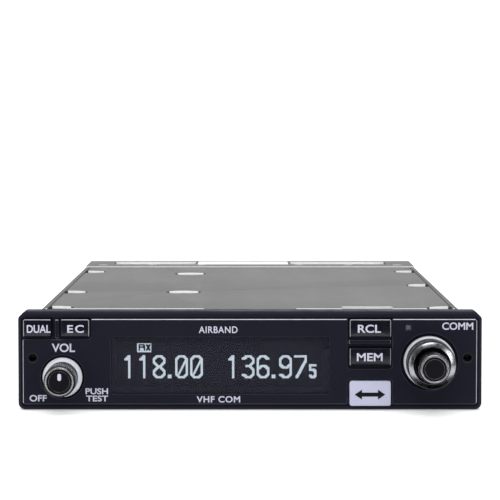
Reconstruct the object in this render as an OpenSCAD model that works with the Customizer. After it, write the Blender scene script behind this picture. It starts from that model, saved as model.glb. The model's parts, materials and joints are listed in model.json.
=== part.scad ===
// Panel-mount VHF airband transceiver in its slide-in mounting tray.
// Millimetres. X to the right seen from the front, Y into the unit, Z up.
// The origin is the centre of the whole box, at its bottom.
// Inside the modules Y is counted from the front of the bezel; placed() moves it to the origin.

/* [Front bezel] */
// Width of the bezel
bezel_w = 160; // [160:1:164]
// Height of the bezel
bezel_h = 34; // [34:0.5:36]
// Depth of the bezel, front to back
bezel_d = 9.5; // [9.5:0.1:9.6]
// Radius of the bezel's four corners
bezel_corner_r = 2.3; // [1:0.1:2.6]
// Thickness of the bezel's front wall behind the face panel
wall_back_y = 2.6; // [2.4:0.1:2.6]
// How far the face panel stands proud of the bezel
panel_proud = 0.6; // [0.3:0.1:0.8]

/* [Knobs] */
// Distance of the volume knob's front from the bezel
vol_reach = 15; // [14:0.5:18]
// Radius of the volume knob's barrel
vol_r = 5.5; // [5.3:0.1:5.7]
// Distance of the outer knob's front from the bezel
comm_outer_reach = 13.4; // [12.5:0.1:13.6]
// Distance of the inner knob's front from the bezel
comm_inner_reach = 24; // [23:0.5:27]
// Travel of the push-to-test switch
test_travel = 0.8; // [0.3:0.1:0.8]

/* [Keys] */
// How far the key tops stand out from the bezel
key_proud = 2; // [1.2:0.1:2.6]
// Travel of a key
key_travel = 0.6; // [0.3:0.1:0.6]

/* [Tray] */
// Half the outer width of the tray
tray_half_w = 73.5; // [73.5:0.1:74]
// Distance of the tray's rear edge behind the front of the bezel
tray_rear_y = 271; // [271:0.5:276]
// Thickness of the tray's sheet
sheet = 1; // [0.8:0.1:1]
// Top of the tray's folded sheet
tray_top_z = 33.2; // [33.1:0.1:33.3]
// Radius of the round holes in the tray's top
tray_hole_r = 6.75; // [5:0.25:7]

/* [Rear] */
// Distance of the antenna jack's tip behind the front of the bezel
antenna_tip_y = 282; // [280:0.5:284]
// Centre of the antenna jack across the unit
antenna_x = -48; // [-50:0.5:-46]
// Centre of the rear connector across the unit
connector_x = -3.45; // [-5:0.05:-2]

/* [Hidden] */
$fn = 64;

// Overlap that keeps cutting bodies from sharing a face with what they cut
cut = 0.1;
// The whole unit is centred front to back between the inner knob's front and the antenna jack's tip
face_y = -(antenna_tip_y - comm_inner_reach) / 2;
half_w = bezel_w / 2;

// Face panel and its wells, seen from the front: [low, high] along X and along Z
panel_x = [-78.3, 78.2];
panel_z = [1.9, 31.4];
panel_back_y = 0.6;
panel_groove = 0.4;
left_well_x = [-78.4, -54.8];
left_well_z = [24.4, 31.5];
right_well_x = [33.6, 49.0];
right_well_z = [14.2, 31.5];
swap_well_z = [1.8, 10.6];
left_rib_x = [-67.3, -65.8];
right_rib_z = [22.6, 24.3];
well_r = 1.2;
window_x = [-47.95, 27.3];
window_z = [5.5, 25.2];
window_r = 1;
window_flange = 1.7;
sensor_x = [53.7, 55.3];
sensor_z = [27.8, 29.2];

// Keys: [low, high] along X and along Z
dual_x = [-78.0, -68.3];
ec_x = [-65.2, -55.3];
left_keys_z = [25.3, 31.4];
right_keys_x = [34.3, 48.5];
rcl_z = [25.2, 31.4];
mem_z = [15.3, 21.6];
swap_z = [1.5, 10.1];
key_r = 0.5;
key_gap = 0.2;
key_flange = 0.6;
key_flange_back_y = 3.5;
rubber_front_y = key_flange_back_y + key_travel + 0.1;
rubber_back_y = 5.6;
rubber_web = 0.4;

// Knob axes as [x, z]
vol_axis = [-64.6, 11.3];
comm_axis = [61.8, 16.6];
knob_floor_y = 1.4;
knob_back = test_travel - knob_floor_y + 0.4;
vol_recess_r = 7.6;
comm_recess_r = 10;
run_gap = 0.05;
vol_shaft_r = 3;
vol_bushing_r = 3.5;
comm_outer_shaft_r = 3;
comm_inner_shaft_r = 1.75;
comm_bushing_r = 4.5;
bushing_front = 1;
washer_front_y = 0.9;
nut_front_y = -0.7;

// Lock screws through the ends of the bezel
lock_x = 74.9;
lock_z = 18;
lock_access_r = 1.55;
lock_head_r = 2.6;
lock_head_y = [2.6, 5.4];
lock_bore_r = 2.8;
lock_shank_r = 1.25;
lock_tip_y = 18;
retainer_y = [8.3, 9.5];
retainer_half = 3.2;

// Front board and the inside of the bezel
cavity_x = 71;
cavity_z = [2, 32.4];
front_board_y = [7.7, 9.3];
front_board_x = 70.4;
front_board_z = [2.8, 30.6];
boss_x = [-52.3, 51.2];
boss_z = [4.8, 28.8];
boss_r = 1.9;
boss_hole_r = 1.05;

// Tray
tray_bottom_z = 0.6;
tray_front_y = 11.2;
tongue_x = 16.3;
tongue_front_y = 9.9;
top_front_y = 21.6;
bend_r = 1.2;
tray_flange_top_z = 8;
tray_flange_inner_x = 71.7;
cover_rear_y = 246;
bracket_front_y = 235;
bracket_x = 73.4;
bracket_sheet = 0.6;
bracket_lip_low_z = 22;
bracket_lip = 0.8;
window_front_y = 248;
rear_window_back_y = 264;
left_rear_window_x = [-61.5, -24.8];
right_rear_window_x = [18.4, 61.5];
middle_rear_window_x = [-23.8, 17.4];
middle_window_back_y = 268.6;
front_slot_x = [32.7, 50.7];
front_slot_y = [17, 30];
edge_hole_x = 69.3;
edge_hole_limit_x = 71.7;
left_edge_hole_y = [25, 95, 207];
right_edge_hole_y = [23, 129, 208];
inner_hole_x = -25.6;
inner_hole_y = [95, 195];
ear_x = 79;
ear_z = [9, 27];
ear_back_y = 12.4;
nut_r = 2.6;
nut_back_y = 15.6;
rivet_r = 1.2;
rivet_hole_r = 1.25;
rivet_z = 4.8;
side_rivet_y = [30, 90, 150, 210, 260];
top_rivet_y = 240.5;
top_rivet_x = [-66, -44, -22, 22, 44, 66];
side_fix_y = [45, 195];
side_fix_z = [11, 23];
side_fix_r = 1.75;

// Radio body
radio_half_w = 71.2;
radio_top_z = 31.7;
radio_bottom_z = 2.1;
radio_front_y = 9.7;
radio_rear_y = 262;
cover_sheet = 0.8;
cover_bend_r = 1.4;
cover_split_z = [15.6, 16];
rail_x = [67.9, 70.3];
chassis_z = [3, 30.8];
chassis_front_y = 9.6;
chassis_wall_y = 11.6;
chassis_rear_y = 258;
deck_z = [11.5, 13];
post_x = 64.6;
post_y = [24, 130, 238];
post_r = 3.2;
post_hole_r = 1.3;
post_hole_depth = 7;
screw_head_r = 2.2;
screw_shank_r = 1.25;
rear_block_x = 60.3;
rear_block_y = 248;
rear_screw_x = 64;
rear_screw_z = [7, 27];

// Circuit boards
board_z = [16, 17.6];
board_x = 66.5;
board_y = [16.5, 222];
board_boss_at = [[-55, 40], [55, 40], [-55, 108], [55, 108], [-55, 205], [55, 205]];
board_boss_r = 2.5;
audio_board_z = [6.2, 7.8];
cans = [
    [[-48, -8], [45, 95], 6],
    [[4, 48], [50, 98], 6],
    [[-46, -4], [122, 176], 7],
    [[8, 46], [126, 184], 6]
];
can_wall = 0.4;
filter_at = [[-30, 106], [-14, 106], [2, 108]];
capacitor_at = [[-40, 192, 5], [-26, 194, 4], [-10, 200, 5], [16, 200, 5], [34, 200, 4]];
capacitor_h = 11;

// Rear connector and antenna jack
connector_z = 14;
connector_flange = [53.04, 12.55];
connector_shell = [38.3, 7.9];
connector_flange_back_y = 263.1;
connector_tip_y = 269;
jack_pitch = 47.04;
jack_hole_r = 1.2;
jack_hex_r = 2.9;
antenna_z = 13.5;
antenna_r = 5.5;
bulkhead_r = 4.8;
antenna_base_y = 264;

// Moves a part drawn from the bezel's front to the origin of the whole unit
module placed() translate([0, face_y, 0]) children();

// Block between [low, high] limits along each axis
module block(x, y, z) translate([x[0], y[0], z[0]]) cube([x[1] - x[0], y[1] - y[0], z[1] - z[0]]);

// Two blocks, mirrored left and right
module both_blocks(x, y, z) {
    block(x, y, z);
    mirror([1, 0, 0]) block(x, y, z);
}

module rod_x(y, z, r, x) translate([x[0], y, z]) rotate([0, 90, 0]) cylinder(h = x[1] - x[0], r = r);
module rod_y(x, z, r, y) translate([x, y[1], z]) rotate([90, 0, 0]) cylinder(h = y[1] - y[0], r = r);
module rod_z(x, y, r, z) translate([x, y, z[0]]) cylinder(h = z[1] - z[0], r = r);

module hex_y(x, z, r, y) {
    translate([x, y[1], z]) rotate([90, 0, 0]) cylinder(h = y[1] - y[0], r = r, $fn = 6);
}

// Turned part about an axis along Y: points are [radius, distance in front of the bezel]
module turned_y(axis, points) {
    translate([axis[0], 0, axis[1]]) rotate([90, 0, 0]) rotate_extrude() polygon(points);
}

// Flat rounded rectangle between [low, high] limits
module rounded_rect(x, z, r) {
    translate([x[0] + r, z[0]]) square([x[1] - x[0] - 2 * r, z[1] - z[0]]);
    translate([x[0], z[0] + r]) square([x[1] - x[0], z[1] - z[0] - 2 * r]);
    for (px = [x[0] + r, x[1] - r]) {
        for (pz = [z[0] + r, z[1] - r]) {
            translate([px, pz]) circle(r);
        }
    }
}

// Plate with rounded corners seen from the front
module rounded_plate(x, z, r, y) {
    translate([0, y[1], 0]) rotate([90, 0, 0]) linear_extrude(y[1] - y[0]) rounded_rect(x, z, r);
}

// Grown [low, high] span
function grow(span, by) = [span[0] - by, span[1] + by];
function mid(span) = (span[0] + span[1]) / 2;

// Section with two rounded top corners, open-ended below
module round_top(w, z, r) {
    translate([-w, z[0]]) square([2 * w, z[1] - r - z[0]]);
    translate([r - w, z[0]]) square([2 * (w - r), z[1] - z[0]]);
    for (side = [-1, 1]) {
        translate([side * (w - r), z[1] - r]) circle(r);
    }
}

// Sheet folded down along both sides, running along Y
module folded_sheet(w, z, t, r, y) {
    translate([0, y[1], 0]) rotate([90, 0, 0]) linear_extrude(y[1] - y[0]) difference() {
        round_top(w, z, r);
        round_top(w - t, [z[0] - cut, z[1] - t], r - t);
    }
}

/* ---------- tray ---------- */

module side_rivet_holes() {
    for (y = side_rivet_y) {
        rod_x(y, rivet_z, rivet_hole_r, [-tray_half_w - cut, tray_half_w + cut]);
    }
}

module tray_ear() {
    screw_hole_r = 1.7;
    difference() {
        block([tray_half_w - sheet, ear_x], [tray_front_y, ear_back_y], ear_z);
        rod_y(lock_x, lock_z, screw_hole_r, [tray_front_y - cut, ear_back_y + cut]);
    }
}

module tray_edge_hole(y) {
    hole_z = [tray_top_z - 2, tray_top_z + cut];
    intersection() {
        rod_z(edge_hole_x, y, tray_hole_r, hole_z);
        block([0, edge_hole_limit_x], [y - tray_hole_r, y + tray_hole_r], hole_z);
    }
}

module tray_cover() {
    nut_relief_z = [14.8, 21.2];
    nut_relief_back_y = 17;
    lip_gap = 0.1;
    inner = tray_half_w - sheet;
    open_z = [tray_top_z - 3, tray_top_z + cut];
    color([0.54, 0.54, 0.53]) placed() {
        difference() {
            union() {
                folded_sheet(tray_half_w, [tray_bottom_z, tray_top_z], sheet, bend_r,
                             [tray_front_y, tray_rear_y]);
                block([-tongue_x, tongue_x], [tongue_front_y, tray_front_y + cut],
                      [tray_top_z - sheet, tray_top_z]);
            }
            block([-inner, inner], [cover_rear_y, rear_window_back_y], open_z);
            block([-inner, inner], [tray_rear_y - bracket_lip - lip_gap, tray_rear_y + cut], open_z);
            block([left_rear_window_x[1], right_rear_window_x[0]], [cover_rear_y, tray_rear_y + cut], open_z);
            both_blocks([tongue_x, inner], [tray_front_y - cut, top_front_y],
                        [tray_top_z - 2, tray_top_z + cut]);
            block(front_slot_x, front_slot_y, [tray_top_z - 2, tray_top_z + cut]);
            for (y = right_edge_hole_y) {
                tray_edge_hole(y);
            }
            mirror([1, 0, 0]) for (y = left_edge_hole_y) {
                tray_edge_hole(y);
            }
            for (y = inner_hole_y) {
                rod_z(inner_hole_x, y, tray_hole_r, [tray_top_z - 2, tray_top_z + cut]);
            }
            both_blocks([tray_half_w - 2, tray_half_w + cut], [ear_back_y - 0.01, nut_relief_back_y],
                        nut_relief_z);
            for (x = top_rivet_x) {
                rod_z(x, top_rivet_y, rivet_hole_r, [tray_top_z - 2, tray_top_z + cut]);
            }
            side_rivet_holes();
            for (y = side_fix_y) {
                for (z = side_fix_z) {
                    rod_x(y, z, side_fix_r, [-tray_half_w - cut, tray_half_w + cut]);
                }
            }
        }
        tray_ear();
        mirror([1, 0, 0]) tray_ear();
    }
}

module tray_bottom() {
    light_hole_r = 11;
    inner = tray_half_w - sheet;
    color([0.50, 0.50, 0.49]) placed() difference() {
        union() {
            block([-inner, inner], [tray_front_y, tray_rear_y], [tray_bottom_z, tray_bottom_z + sheet]);
            both_blocks([tray_flange_inner_x, inner], [ear_back_y + 5, tray_rear_y],
                        [tray_bottom_z, tray_flange_top_z]);
            block([-60, 60], [tray_rear_y - sheet, tray_rear_y], [tray_bottom_z, 5]);
        }
        for (x = [-42, 0, 42]) {
            for (y = [50, 130, 210]) {
                rod_z(x, y, light_hole_r, [tray_bottom_z - cut, tray_bottom_z + sheet + cut]);
            }
        }
        side_rivet_holes();
    }
}

module tray_rear_bracket() {
    plate_z = [tray_top_z, tray_top_z + bracket_sheet];
    cut_z = [tray_top_z - cut, tray_top_z + 1];
    lip_y = [tray_rear_y - bracket_lip, tray_rear_y];
    inner = tray_half_w - sheet - cut;
    color([0.56, 0.56, 0.55]) placed() difference() {
        union() {
            block([-bracket_x, bracket_x], [bracket_front_y, tray_rear_y], plate_z);
            block([-inner, left_rear_window_x[1]], lip_y, [bracket_lip_low_z, plate_z[1]]);
            block([right_rear_window_x[0], inner], lip_y, [bracket_lip_low_z, plate_z[1]]);
        }
        block(left_rear_window_x, [window_front_y, rear_window_back_y], cut_z);
        block(right_rear_window_x, [window_front_y, rear_window_back_y], cut_z);
        block(middle_rear_window_x, [window_front_y, middle_window_back_y], cut_z);
        for (x = top_rivet_x) {
            rod_z(x, top_rivet_y, rivet_hole_r, cut_z);
        }
    }
}

module tray_rivets() {
    head_r = 2.2;
    head_h = 0.6;
    top_head_h = 0.2;
    top_z = tray_top_z + bracket_sheet;
    color([0.70, 0.70, 0.69]) placed() {
        for (side = [-1, 1]) {
            for (y = side_rivet_y) {
                scale([side, 1, 1]) {
                    rod_x(y, rivet_z, rivet_r, [tray_flange_inner_x, tray_half_w + head_h]);
                    rod_x(y, rivet_z, head_r, [tray_half_w, tray_half_w + head_h]);
                }
            }
        }
        for (x = top_rivet_x) {
            rod_z(x, top_rivet_y, rivet_r, [tray_top_z - sheet, top_z + top_head_h]);
            rod_z(x, top_rivet_y, head_r, [top_z, top_z + top_head_h]);
        }
    }
}

module clinch_nuts() {
    color([0.72, 0.71, 0.66]) placed() {
        for (side = [-1, 1]) {
            difference() {
                rod_y(side * lock_x, lock_z, nut_r, [ear_back_y, nut_back_y]);
                rod_y(side * lock_x, lock_z, lock_shank_r + run_gap, [ear_back_y - cut, nut_back_y + cut]);
            }
        }
    }
}

module tray_springs() {
    strip_w = 9;
    strip_l = 32;
    base_z = tray_bottom_z + sheet;
    outline = [[0, 0], [strip_l, 0], [strip_l, 0.25], [22, 0.44], [10, 0.44], [0, 0.25]];
    color([0.78, 0.68, 0.45]) placed() {
        for (x = [-24, 24]) {
            for (y = [74, 154]) {
                translate([x - strip_w / 2, y, base_z]) {
                    rotate([90, 0, 90]) linear_extrude(strip_w) polygon(outline);
                }
            }
        }
    }
}

/* ---------- chassis and covers ---------- */

module chassis() {
    boss_top_z = board_z[0];
    boss_bore_r = 0.95;
    bezel_screw_hole_r = 1.2;
    front_wall_y = [chassis_front_y - cut, chassis_wall_y + cut];
    encoder_relief_x = [55.8, rail_x[0]];
    encoder_relief_z = [10.6, 22.6];
    cable_slot_x = [-13, 13];
    cable_slot_z = [16.6, 21];
    deck_opening_x = [-28, 28];
    deck_opening_y = [60, 190];
    color([0.66, 0.67, 0.68]) placed() difference() {
        union() {
            both_blocks(rail_x, [chassis_front_y, chassis_rear_y], chassis_z);
            block([-rail_x[0], rail_x[0]], [chassis_front_y, chassis_wall_y], chassis_z);
            block([-rail_x[0], rail_x[0]], [chassis_wall_y, rear_block_y], deck_z);
            both_blocks([rear_block_x, rail_x[0]], [rear_block_y, chassis_rear_y], chassis_z);
            for (side = [-1, 1]) {
                for (y = post_y) {
                    rod_z(side * post_x, y, post_r, chassis_z);
                }
            }
            for (at = board_boss_at) {
                rod_z(at[0], at[1], board_boss_r, [deck_z[0], boss_top_z]);
            }
            for (x = [-50, 50]) {
                for (y = [34, 140]) {
                    rod_z(x, y, board_boss_r, [audio_board_z[1], deck_z[1]]);
                }
            }
        }
        for (side = [-1, 1]) {
            for (y = post_y) {
                rod_z(side * post_x, y, post_hole_r, [chassis_z[1] - post_hole_depth, chassis_z[1] + cut]);
                rod_z(side * post_x, y, post_hole_r, [chassis_z[0] - cut, chassis_z[0] + post_hole_depth]);
            }
            for (z = rear_screw_z) {
                rod_y(side * rear_screw_x, z, post_hole_r, [rear_block_y + 1, chassis_rear_y + cut]);
            }
        }
        for (at = board_boss_at) {
            rod_z(at[0], at[1], boss_bore_r, [deck_z[0] - cut, boss_top_z + cut]);
        }
        for (x = boss_x) {
            for (z = boss_z) {
                rod_y(x, z, bezel_screw_hole_r, front_wall_y);
            }
        }
        block(encoder_relief_x, [chassis_front_y - cut, chassis_wall_y + 5], encoder_relief_z);
        block(cable_slot_x, front_wall_y, cable_slot_z);
        block(deck_opening_x, deck_opening_y, grow(deck_z, cut));
    }
}

module top_cover() {
    color([0.90, 0.90, 0.91]) placed() difference() {
        folded_sheet(radio_half_w, [cover_split_z[1], radio_top_z], cover_sheet, cover_bend_r,
                     [radio_front_y, radio_rear_y]);
        for (side = [-1, 1]) {
            for (y = post_y) {
                rod_z(side * post_x, y, screw_head_r + cut, [radio_top_z - 2, radio_top_z + cut]);
            }
        }
    }
}

module bottom_cover() {
    slot_r = 0.9;
    color([0.86, 0.86, 0.87]) placed() difference() {
        translate([0, 0, radio_bottom_z + cover_split_z[0]]) mirror([0, 0, 1]) {
            folded_sheet(radio_half_w, [radio_bottom_z, cover_split_z[0]], cover_sheet, cover_bend_r,
                         [radio_front_y, radio_rear_y]);
        }
        for (side = [-1, 1]) {
            for (y = post_y) {
                rod_z(side * post_x, y, screw_head_r + cut, [radio_bottom_z - cut, radio_bottom_z + 2]);
            }
        }
        for (y = [190 : 6 : 226]) {
            for (x = [-30, 30]) {
                block([x - 14, x + 14], [y - slot_r, y + slot_r], [radio_bottom_z - cut, radio_bottom_z + 1]);
            }
        }
    }
}

module cover_screw(x, y) {
    recess = [1.6, 0.3, 0.5];
    difference() {
        union() {
            rod_z(x, y, screw_head_r, [chassis_z[1] + cut, radio_top_z]);
            rod_z(x, y, screw_shank_r, [chassis_z[1] - 6, radio_top_z - cut]);
        }
        block([x - recess[0], x + recess[0]], [y - recess[1], y + recess[1]],
              [radio_top_z - recess[2], radio_top_z + cut]);
        block([x - recess[1], x + recess[1]], [y - recess[0], y + recess[0]],
              [radio_top_z - recess[2], radio_top_z + cut]);
    }
}

module cover_screws() {
    color([0.75, 0.75, 0.76]) placed() {
        for (side = [-1, 1]) {
            for (y = post_y) {
                cover_screw(side * post_x, y);
                translate([0, 0, radio_top_z + radio_bottom_z]) mirror([0, 0, 1]) {
                    cover_screw(side * post_x, y);
                }
            }
        }
    }
}

module heat_sink() {
    fin_t = 1.3;
    fin_back_y = 267.5;
    fin_z = [4.5, 29.3];
    short_fin_low_z = 22.5;
    connector_slot_half = [20.6, 5.2];
    screw_hole_r = 1.5;
    wall_y = [chassis_rear_y - cut, radio_rear_y + cut];
    color([0.30, 0.30, 0.32]) placed() difference() {
        union() {
            block([-rail_x[1], rail_x[1]], [chassis_rear_y, radio_rear_y], chassis_z);
            for (x = [29 : 4 : 57]) {
                block([x, x + fin_t], [radio_rear_y - cut, fin_back_y], fin_z);
            }
            for (x = [-37, -33]) {
                block([x, x + fin_t], [radio_rear_y - cut, fin_back_y], [short_fin_low_z, fin_z[1]]);
            }
        }
        rod_y(antenna_x, antenna_z, bulkhead_r + run_gap, wall_y);
        block(grow([connector_x, connector_x], connector_slot_half[0]), wall_y,
              grow([connector_z, connector_z], connector_slot_half[1]));
        for (side = [-1, 1]) {
            rod_y(connector_x + side * jack_pitch / 2, connector_z, screw_hole_r, wall_y);
            for (z = rear_screw_z) {
                rod_y(side * rear_screw_x, z, screw_hole_r, wall_y);
            }
        }
    }
}

module rear_screws() {
    head_back_y = 263.8;
    head_r = 2.5;
    recess_y = [head_back_y - 0.9, head_back_y + cut];
    recess_half = [1.7, 0.3];
    color([0.72, 0.72, 0.73]) placed() {
        for (x = [-rear_screw_x, rear_screw_x]) {
            for (z = rear_screw_z) {
                difference() {
                    union() {
                        rod_y(x, z, head_r, [radio_rear_y, head_back_y]);
                        rod_y(x, z, screw_shank_r, [rear_block_y + 2, radio_rear_y + cut]);
                    }
                    block(grow([x, x], recess_half[0]), recess_y, grow([z, z], recess_half[1]));
                    block(grow([x, x], recess_half[1]), recess_y, grow([z, z], recess_half[0]));
                }
            }
        }
    }
}

/* ---------- front ---------- */

// Hole for a key through the bezel's front wall
module key_hole(x, z) block(grow(x, key_gap), [-1, wall_back_y + cut], grow(z, key_gap));

module bezel_chamfers() {
    c = 0.9;
    for (side = [-1, 1]) {
        translate([side * half_w, 0, bezel_h / 2]) rotate([0, 0, 45]) {
            cube([c * sqrt(2), c * sqrt(2), bezel_h + 2], center = true);
        }
    }
    for (z = [0, bezel_h]) {
        translate([0, 0, z]) rotate([45, 0, 0]) cube([bezel_w + 2, c * sqrt(2), c * sqrt(2)], center = true);
    }
}

module front_bezel() {
    color([0.13, 0.13, 0.17]) placed() difference() {
        union() {
            difference() {
                rounded_plate([-half_w, half_w], [0, bezel_h], bezel_corner_r, [0, bezel_d]);
                block([-cavity_x, cavity_x], [wall_back_y, bezel_d + cut], cavity_z);
                block([dual_x[0] - 0.9, -cavity_x + cut], [wall_back_y, bezel_d + cut], [24.4, cavity_z[1]]);
                block(grow(right_keys_x, 1.2), [wall_back_y, bezel_d + cut], [1.2, 3]);
            }
            for (x = boss_x) {
                for (z = boss_z) {
                    rod_y(x, z, boss_r, [wall_back_y - cut, bezel_d]);
                }
            }
        }
        bezel_chamfers();
        rounded_plate(grow(panel_x, panel_groove), grow(panel_z, panel_groove), 1, [-cut, panel_back_y]);
        rounded_plate(grow(window_x, 0.1), grow(window_z, 0.1), window_r, [-cut, wall_back_y + cut]);
        key_hole(dual_x, left_keys_z);
        key_hole(ec_x, left_keys_z);
        key_hole(right_keys_x, rcl_z);
        key_hole(right_keys_x, mem_z);
        key_hole(right_keys_x, swap_z);
        rod_y(vol_axis[0], vol_axis[1], vol_recess_r, [-cut, knob_floor_y]);
        rod_y(comm_axis[0], comm_axis[1], comm_recess_r, [-cut, knob_floor_y]);
        rod_y(vol_axis[0], vol_axis[1], vol_bushing_r + cut, [0, wall_back_y + cut]);
        rod_y(comm_axis[0], comm_axis[1], comm_bushing_r + cut, [0, wall_back_y + cut]);
        block(grow(sensor_x, 0.1), [0, wall_back_y + cut], grow(sensor_z, 0.1));
        for (x = boss_x) {
            for (z = boss_z) {
                rod_y(x, z, boss_hole_r, [4, bezel_d + cut]);
            }
        }
        for (x = [-lock_x, lock_x]) {
            rod_y(x, lock_z, lock_access_r, [-cut, wall_back_y]);
            rod_y(x, lock_z, lock_bore_r, [lock_head_y[0] - 0.4, retainer_y[0] + cut]);
            block([x - retainer_half, x + retainer_half], grow(retainer_y, cut),
                  [lock_z - retainer_half, lock_z + retainer_half]);
        }
    }
}

module face_panel() {
    front_y = -panel_proud;
    through = [front_y - cut, panel_back_y + cut];
    color([0.12, 0.12, 0.16]) placed() difference() {
        rounded_plate(panel_x, panel_z, 0.8, [front_y, panel_back_y]);
        difference() {
            block(left_well_x, through, left_well_z);
            block(left_rib_x, grow(through, cut), [left_well_z[0] - 1, panel_z[1] + 1]);
        }
        difference() {
            rounded_plate(right_well_x, right_well_z, well_r, through);
            block(grow(right_well_x, 1), grow(through, cut), right_rib_z);
        }
        block(right_well_x, through, [right_well_z[1] - 3, right_well_z[1]]);
        rounded_plate(right_well_x, swap_well_z, well_r, through);
        block(right_well_x, through, [swap_well_z[0], swap_well_z[0] + 3]);
        rounded_plate(grow(window_x, 0.05), grow(window_z, 0.05), window_r, through);
        rod_y(vol_axis[0], vol_axis[1], vol_recess_r, through);
        rod_y(comm_axis[0], comm_axis[1], comm_recess_r, through);
        block(grow(sensor_x, 0.1), through, grow(sensor_z, 0.1));
        for (x = [-lock_x, lock_x]) {
            rod_y(x, lock_z, lock_access_r, through);
        }
    }
}

module display_window() {
    front_y = -panel_proud + 0.2;
    color([0.10, 0.10, 0.12]) placed() {
        rounded_plate(window_x, window_z, window_r, [front_y, wall_back_y + 0.1]);
        rounded_plate(grow(window_x, window_flange), grow(window_z, window_flange), window_r,
                      [wall_back_y + 0.1, 3.3]);
    }
}

module display_gasket() {
    gasket_y = [3.3, 3.9];
    color([0.05, 0.05, 0.05]) placed() difference() {
        rounded_plate(grow(window_x, window_flange), grow(window_z, window_flange), window_r, gasket_y);
        rounded_plate(grow(window_x, -2), grow(window_z, -2), window_r, grow(gasket_y, cut));
    }
}

module display_module() {
    glass_y = [3.9, 5.4];
    carrier_back_y = 6.4;
    standoff_r = 1.2;
    color([0.04, 0.04, 0.05]) placed() {
        block(grow(window_x, 0.6), glass_y, grow(window_z, 1));
        block(grow(window_x, 1.4), [glass_y[1], carrier_back_y], [3.2, 27.8]);
        for (x = grow(window_x, -2)) {
            for (z = [6, 25]) {
                rod_y(x, z, standoff_r, [carrier_back_y - cut, front_board_y[0]]);
            }
        }
    }
}

module sensor_window() {
    color([0.30, 0.30, 0.34]) placed() block(sensor_x, [-panel_proud + 0.1, wall_back_y], sensor_z);
}

module key(x, z) {
    flange_z = [max(z[0] - key_flange, 1.4), z[1] + key_flange];
    rounded_plate(x, z, key_r, [-key_proud, wall_back_y + 0.2]);
    block(grow(x, key_flange), [wall_back_y + 0.1, key_flange_back_y], flange_z);
}

module key_dual() color([0.15, 0.15, 0.19]) placed() key(dual_x, left_keys_z);
module key_ec() color([0.15, 0.15, 0.19]) placed() key(ec_x, left_keys_z);
module key_rcl() color([0.15, 0.15, 0.19]) placed() key(right_keys_x, rcl_z);
module key_mem() color([0.15, 0.15, 0.19]) placed() key(right_keys_x, mem_z);
module key_swap() color([0.82, 0.82, 0.90]) placed() key(right_keys_x, swap_z);

KEY_SPANS = [
    [dual_x, left_keys_z], [ec_x, left_keys_z],
    [right_keys_x, rcl_z], [right_keys_x, mem_z], [right_keys_x, swap_z]
];

module keypad_rubber() {
    inset = -0.8;
    web_y = [rubber_back_y - rubber_web, rubber_back_y];
    color([0.55, 0.55, 0.58]) placed() {
        for (k = KEY_SPANS) {
            block(grow(k[0], inset), [rubber_front_y, rubber_back_y], grow(k[1], inset));
        }
        block([dual_x[0] + 0.8, ec_x[1] - 0.8], web_y, grow(left_keys_z, -1.4));
        block(grow(right_keys_x, -1.4), web_y, [swap_z[0] + 0.8, rcl_z[1] - 0.8]);
    }
}

module tact_switches() {
    half = 2.4;
    body_front_y = 6.4;
    tip_y = 5.8;
    color([0.20, 0.20, 0.21]) placed() {
        for (k = KEY_SPANS) {
            x = mid(k[0]);
            z = mid(k[1]);
            block([x - half, x + half], [body_front_y, front_board_y[0]], [z - half, z + half]);
            rod_y(x, z, 1.2, [tip_y, body_front_y + cut]);
        }
    }
}

module front_board() {
    shaft_clearance = 4.3;
    color([0.07, 0.32, 0.18]) placed() difference() {
        union() {
            block([-front_board_x, front_board_x], front_board_y, front_board_z);
            block([dual_x[0] - 0.4, -front_board_x + 1], front_board_y, [24.8, front_board_z[1]]);
        }
        for (x = boss_x) {
            for (z = boss_z) {
                rod_y(x, z, boss_r + 0.3, grow(front_board_y, cut));
            }
        }
        block(grow([comm_axis[0], comm_axis[0]], shaft_clearance), grow(front_board_y, cut),
              grow([comm_axis[1], comm_axis[1]], shaft_clearance));
    }
}

module bezel_screws() {
    head_r = 1.9;
    head_h = 1.4;
    shank_r = 1;
    tip_y = 4.6;
    color([0.72, 0.72, 0.73]) placed() {
        for (x = boss_x) {
            for (z = boss_z) {
                rod_y(x, z, head_r, [chassis_wall_y, chassis_wall_y + head_h]);
                rod_y(x, z, shank_r, [tip_y, chassis_wall_y + cut]);
            }
        }
    }
}

module lock_screw_retainers() {
    color([0.72, 0.71, 0.66]) placed() {
        for (x = [-lock_x, lock_x]) {
            difference() {
                block([x - retainer_half + cut, x + retainer_half - cut], retainer_y,
                      [lock_z - retainer_half + cut, lock_z + retainer_half - cut]);
                rod_y(x, lock_z, lock_shank_r + run_gap, grow(retainer_y, cut));
            }
        }
    }
}

module lock_screw(x) {
    socket_r = 1.3;
    socket_depth = 1.6;
    difference() {
        union() {
            rod_y(x, lock_z, lock_head_r, lock_head_y);
            rod_y(x, lock_z, lock_shank_r, [lock_head_y[1] - cut, lock_tip_y]);
        }
        hex_y(x, lock_z, socket_r, [lock_head_y[0] - cut, lock_head_y[0] + socket_depth]);
    }
}

module lock_screw_left() color([0.45, 0.45, 0.47]) placed() lock_screw(-lock_x);
module lock_screw_right() color([0.45, 0.45, 0.47]) placed() lock_screw(lock_x);

/* ---------- controls ---------- */

// Threaded bushing's nut and the washer under it
module nut_and_washer(axis, bushing_r, hex_r, washer_r) {
    difference() {
        union() {
            hex_y(axis[0], axis[1], hex_r, [nut_front_y, washer_front_y]);
            rod_y(axis[0], axis[1], washer_r, [washer_front_y, knob_floor_y]);
        }
        rod_y(axis[0], axis[1], bushing_r + run_gap, [nut_front_y - cut, knob_floor_y + cut]);
    }
}

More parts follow.
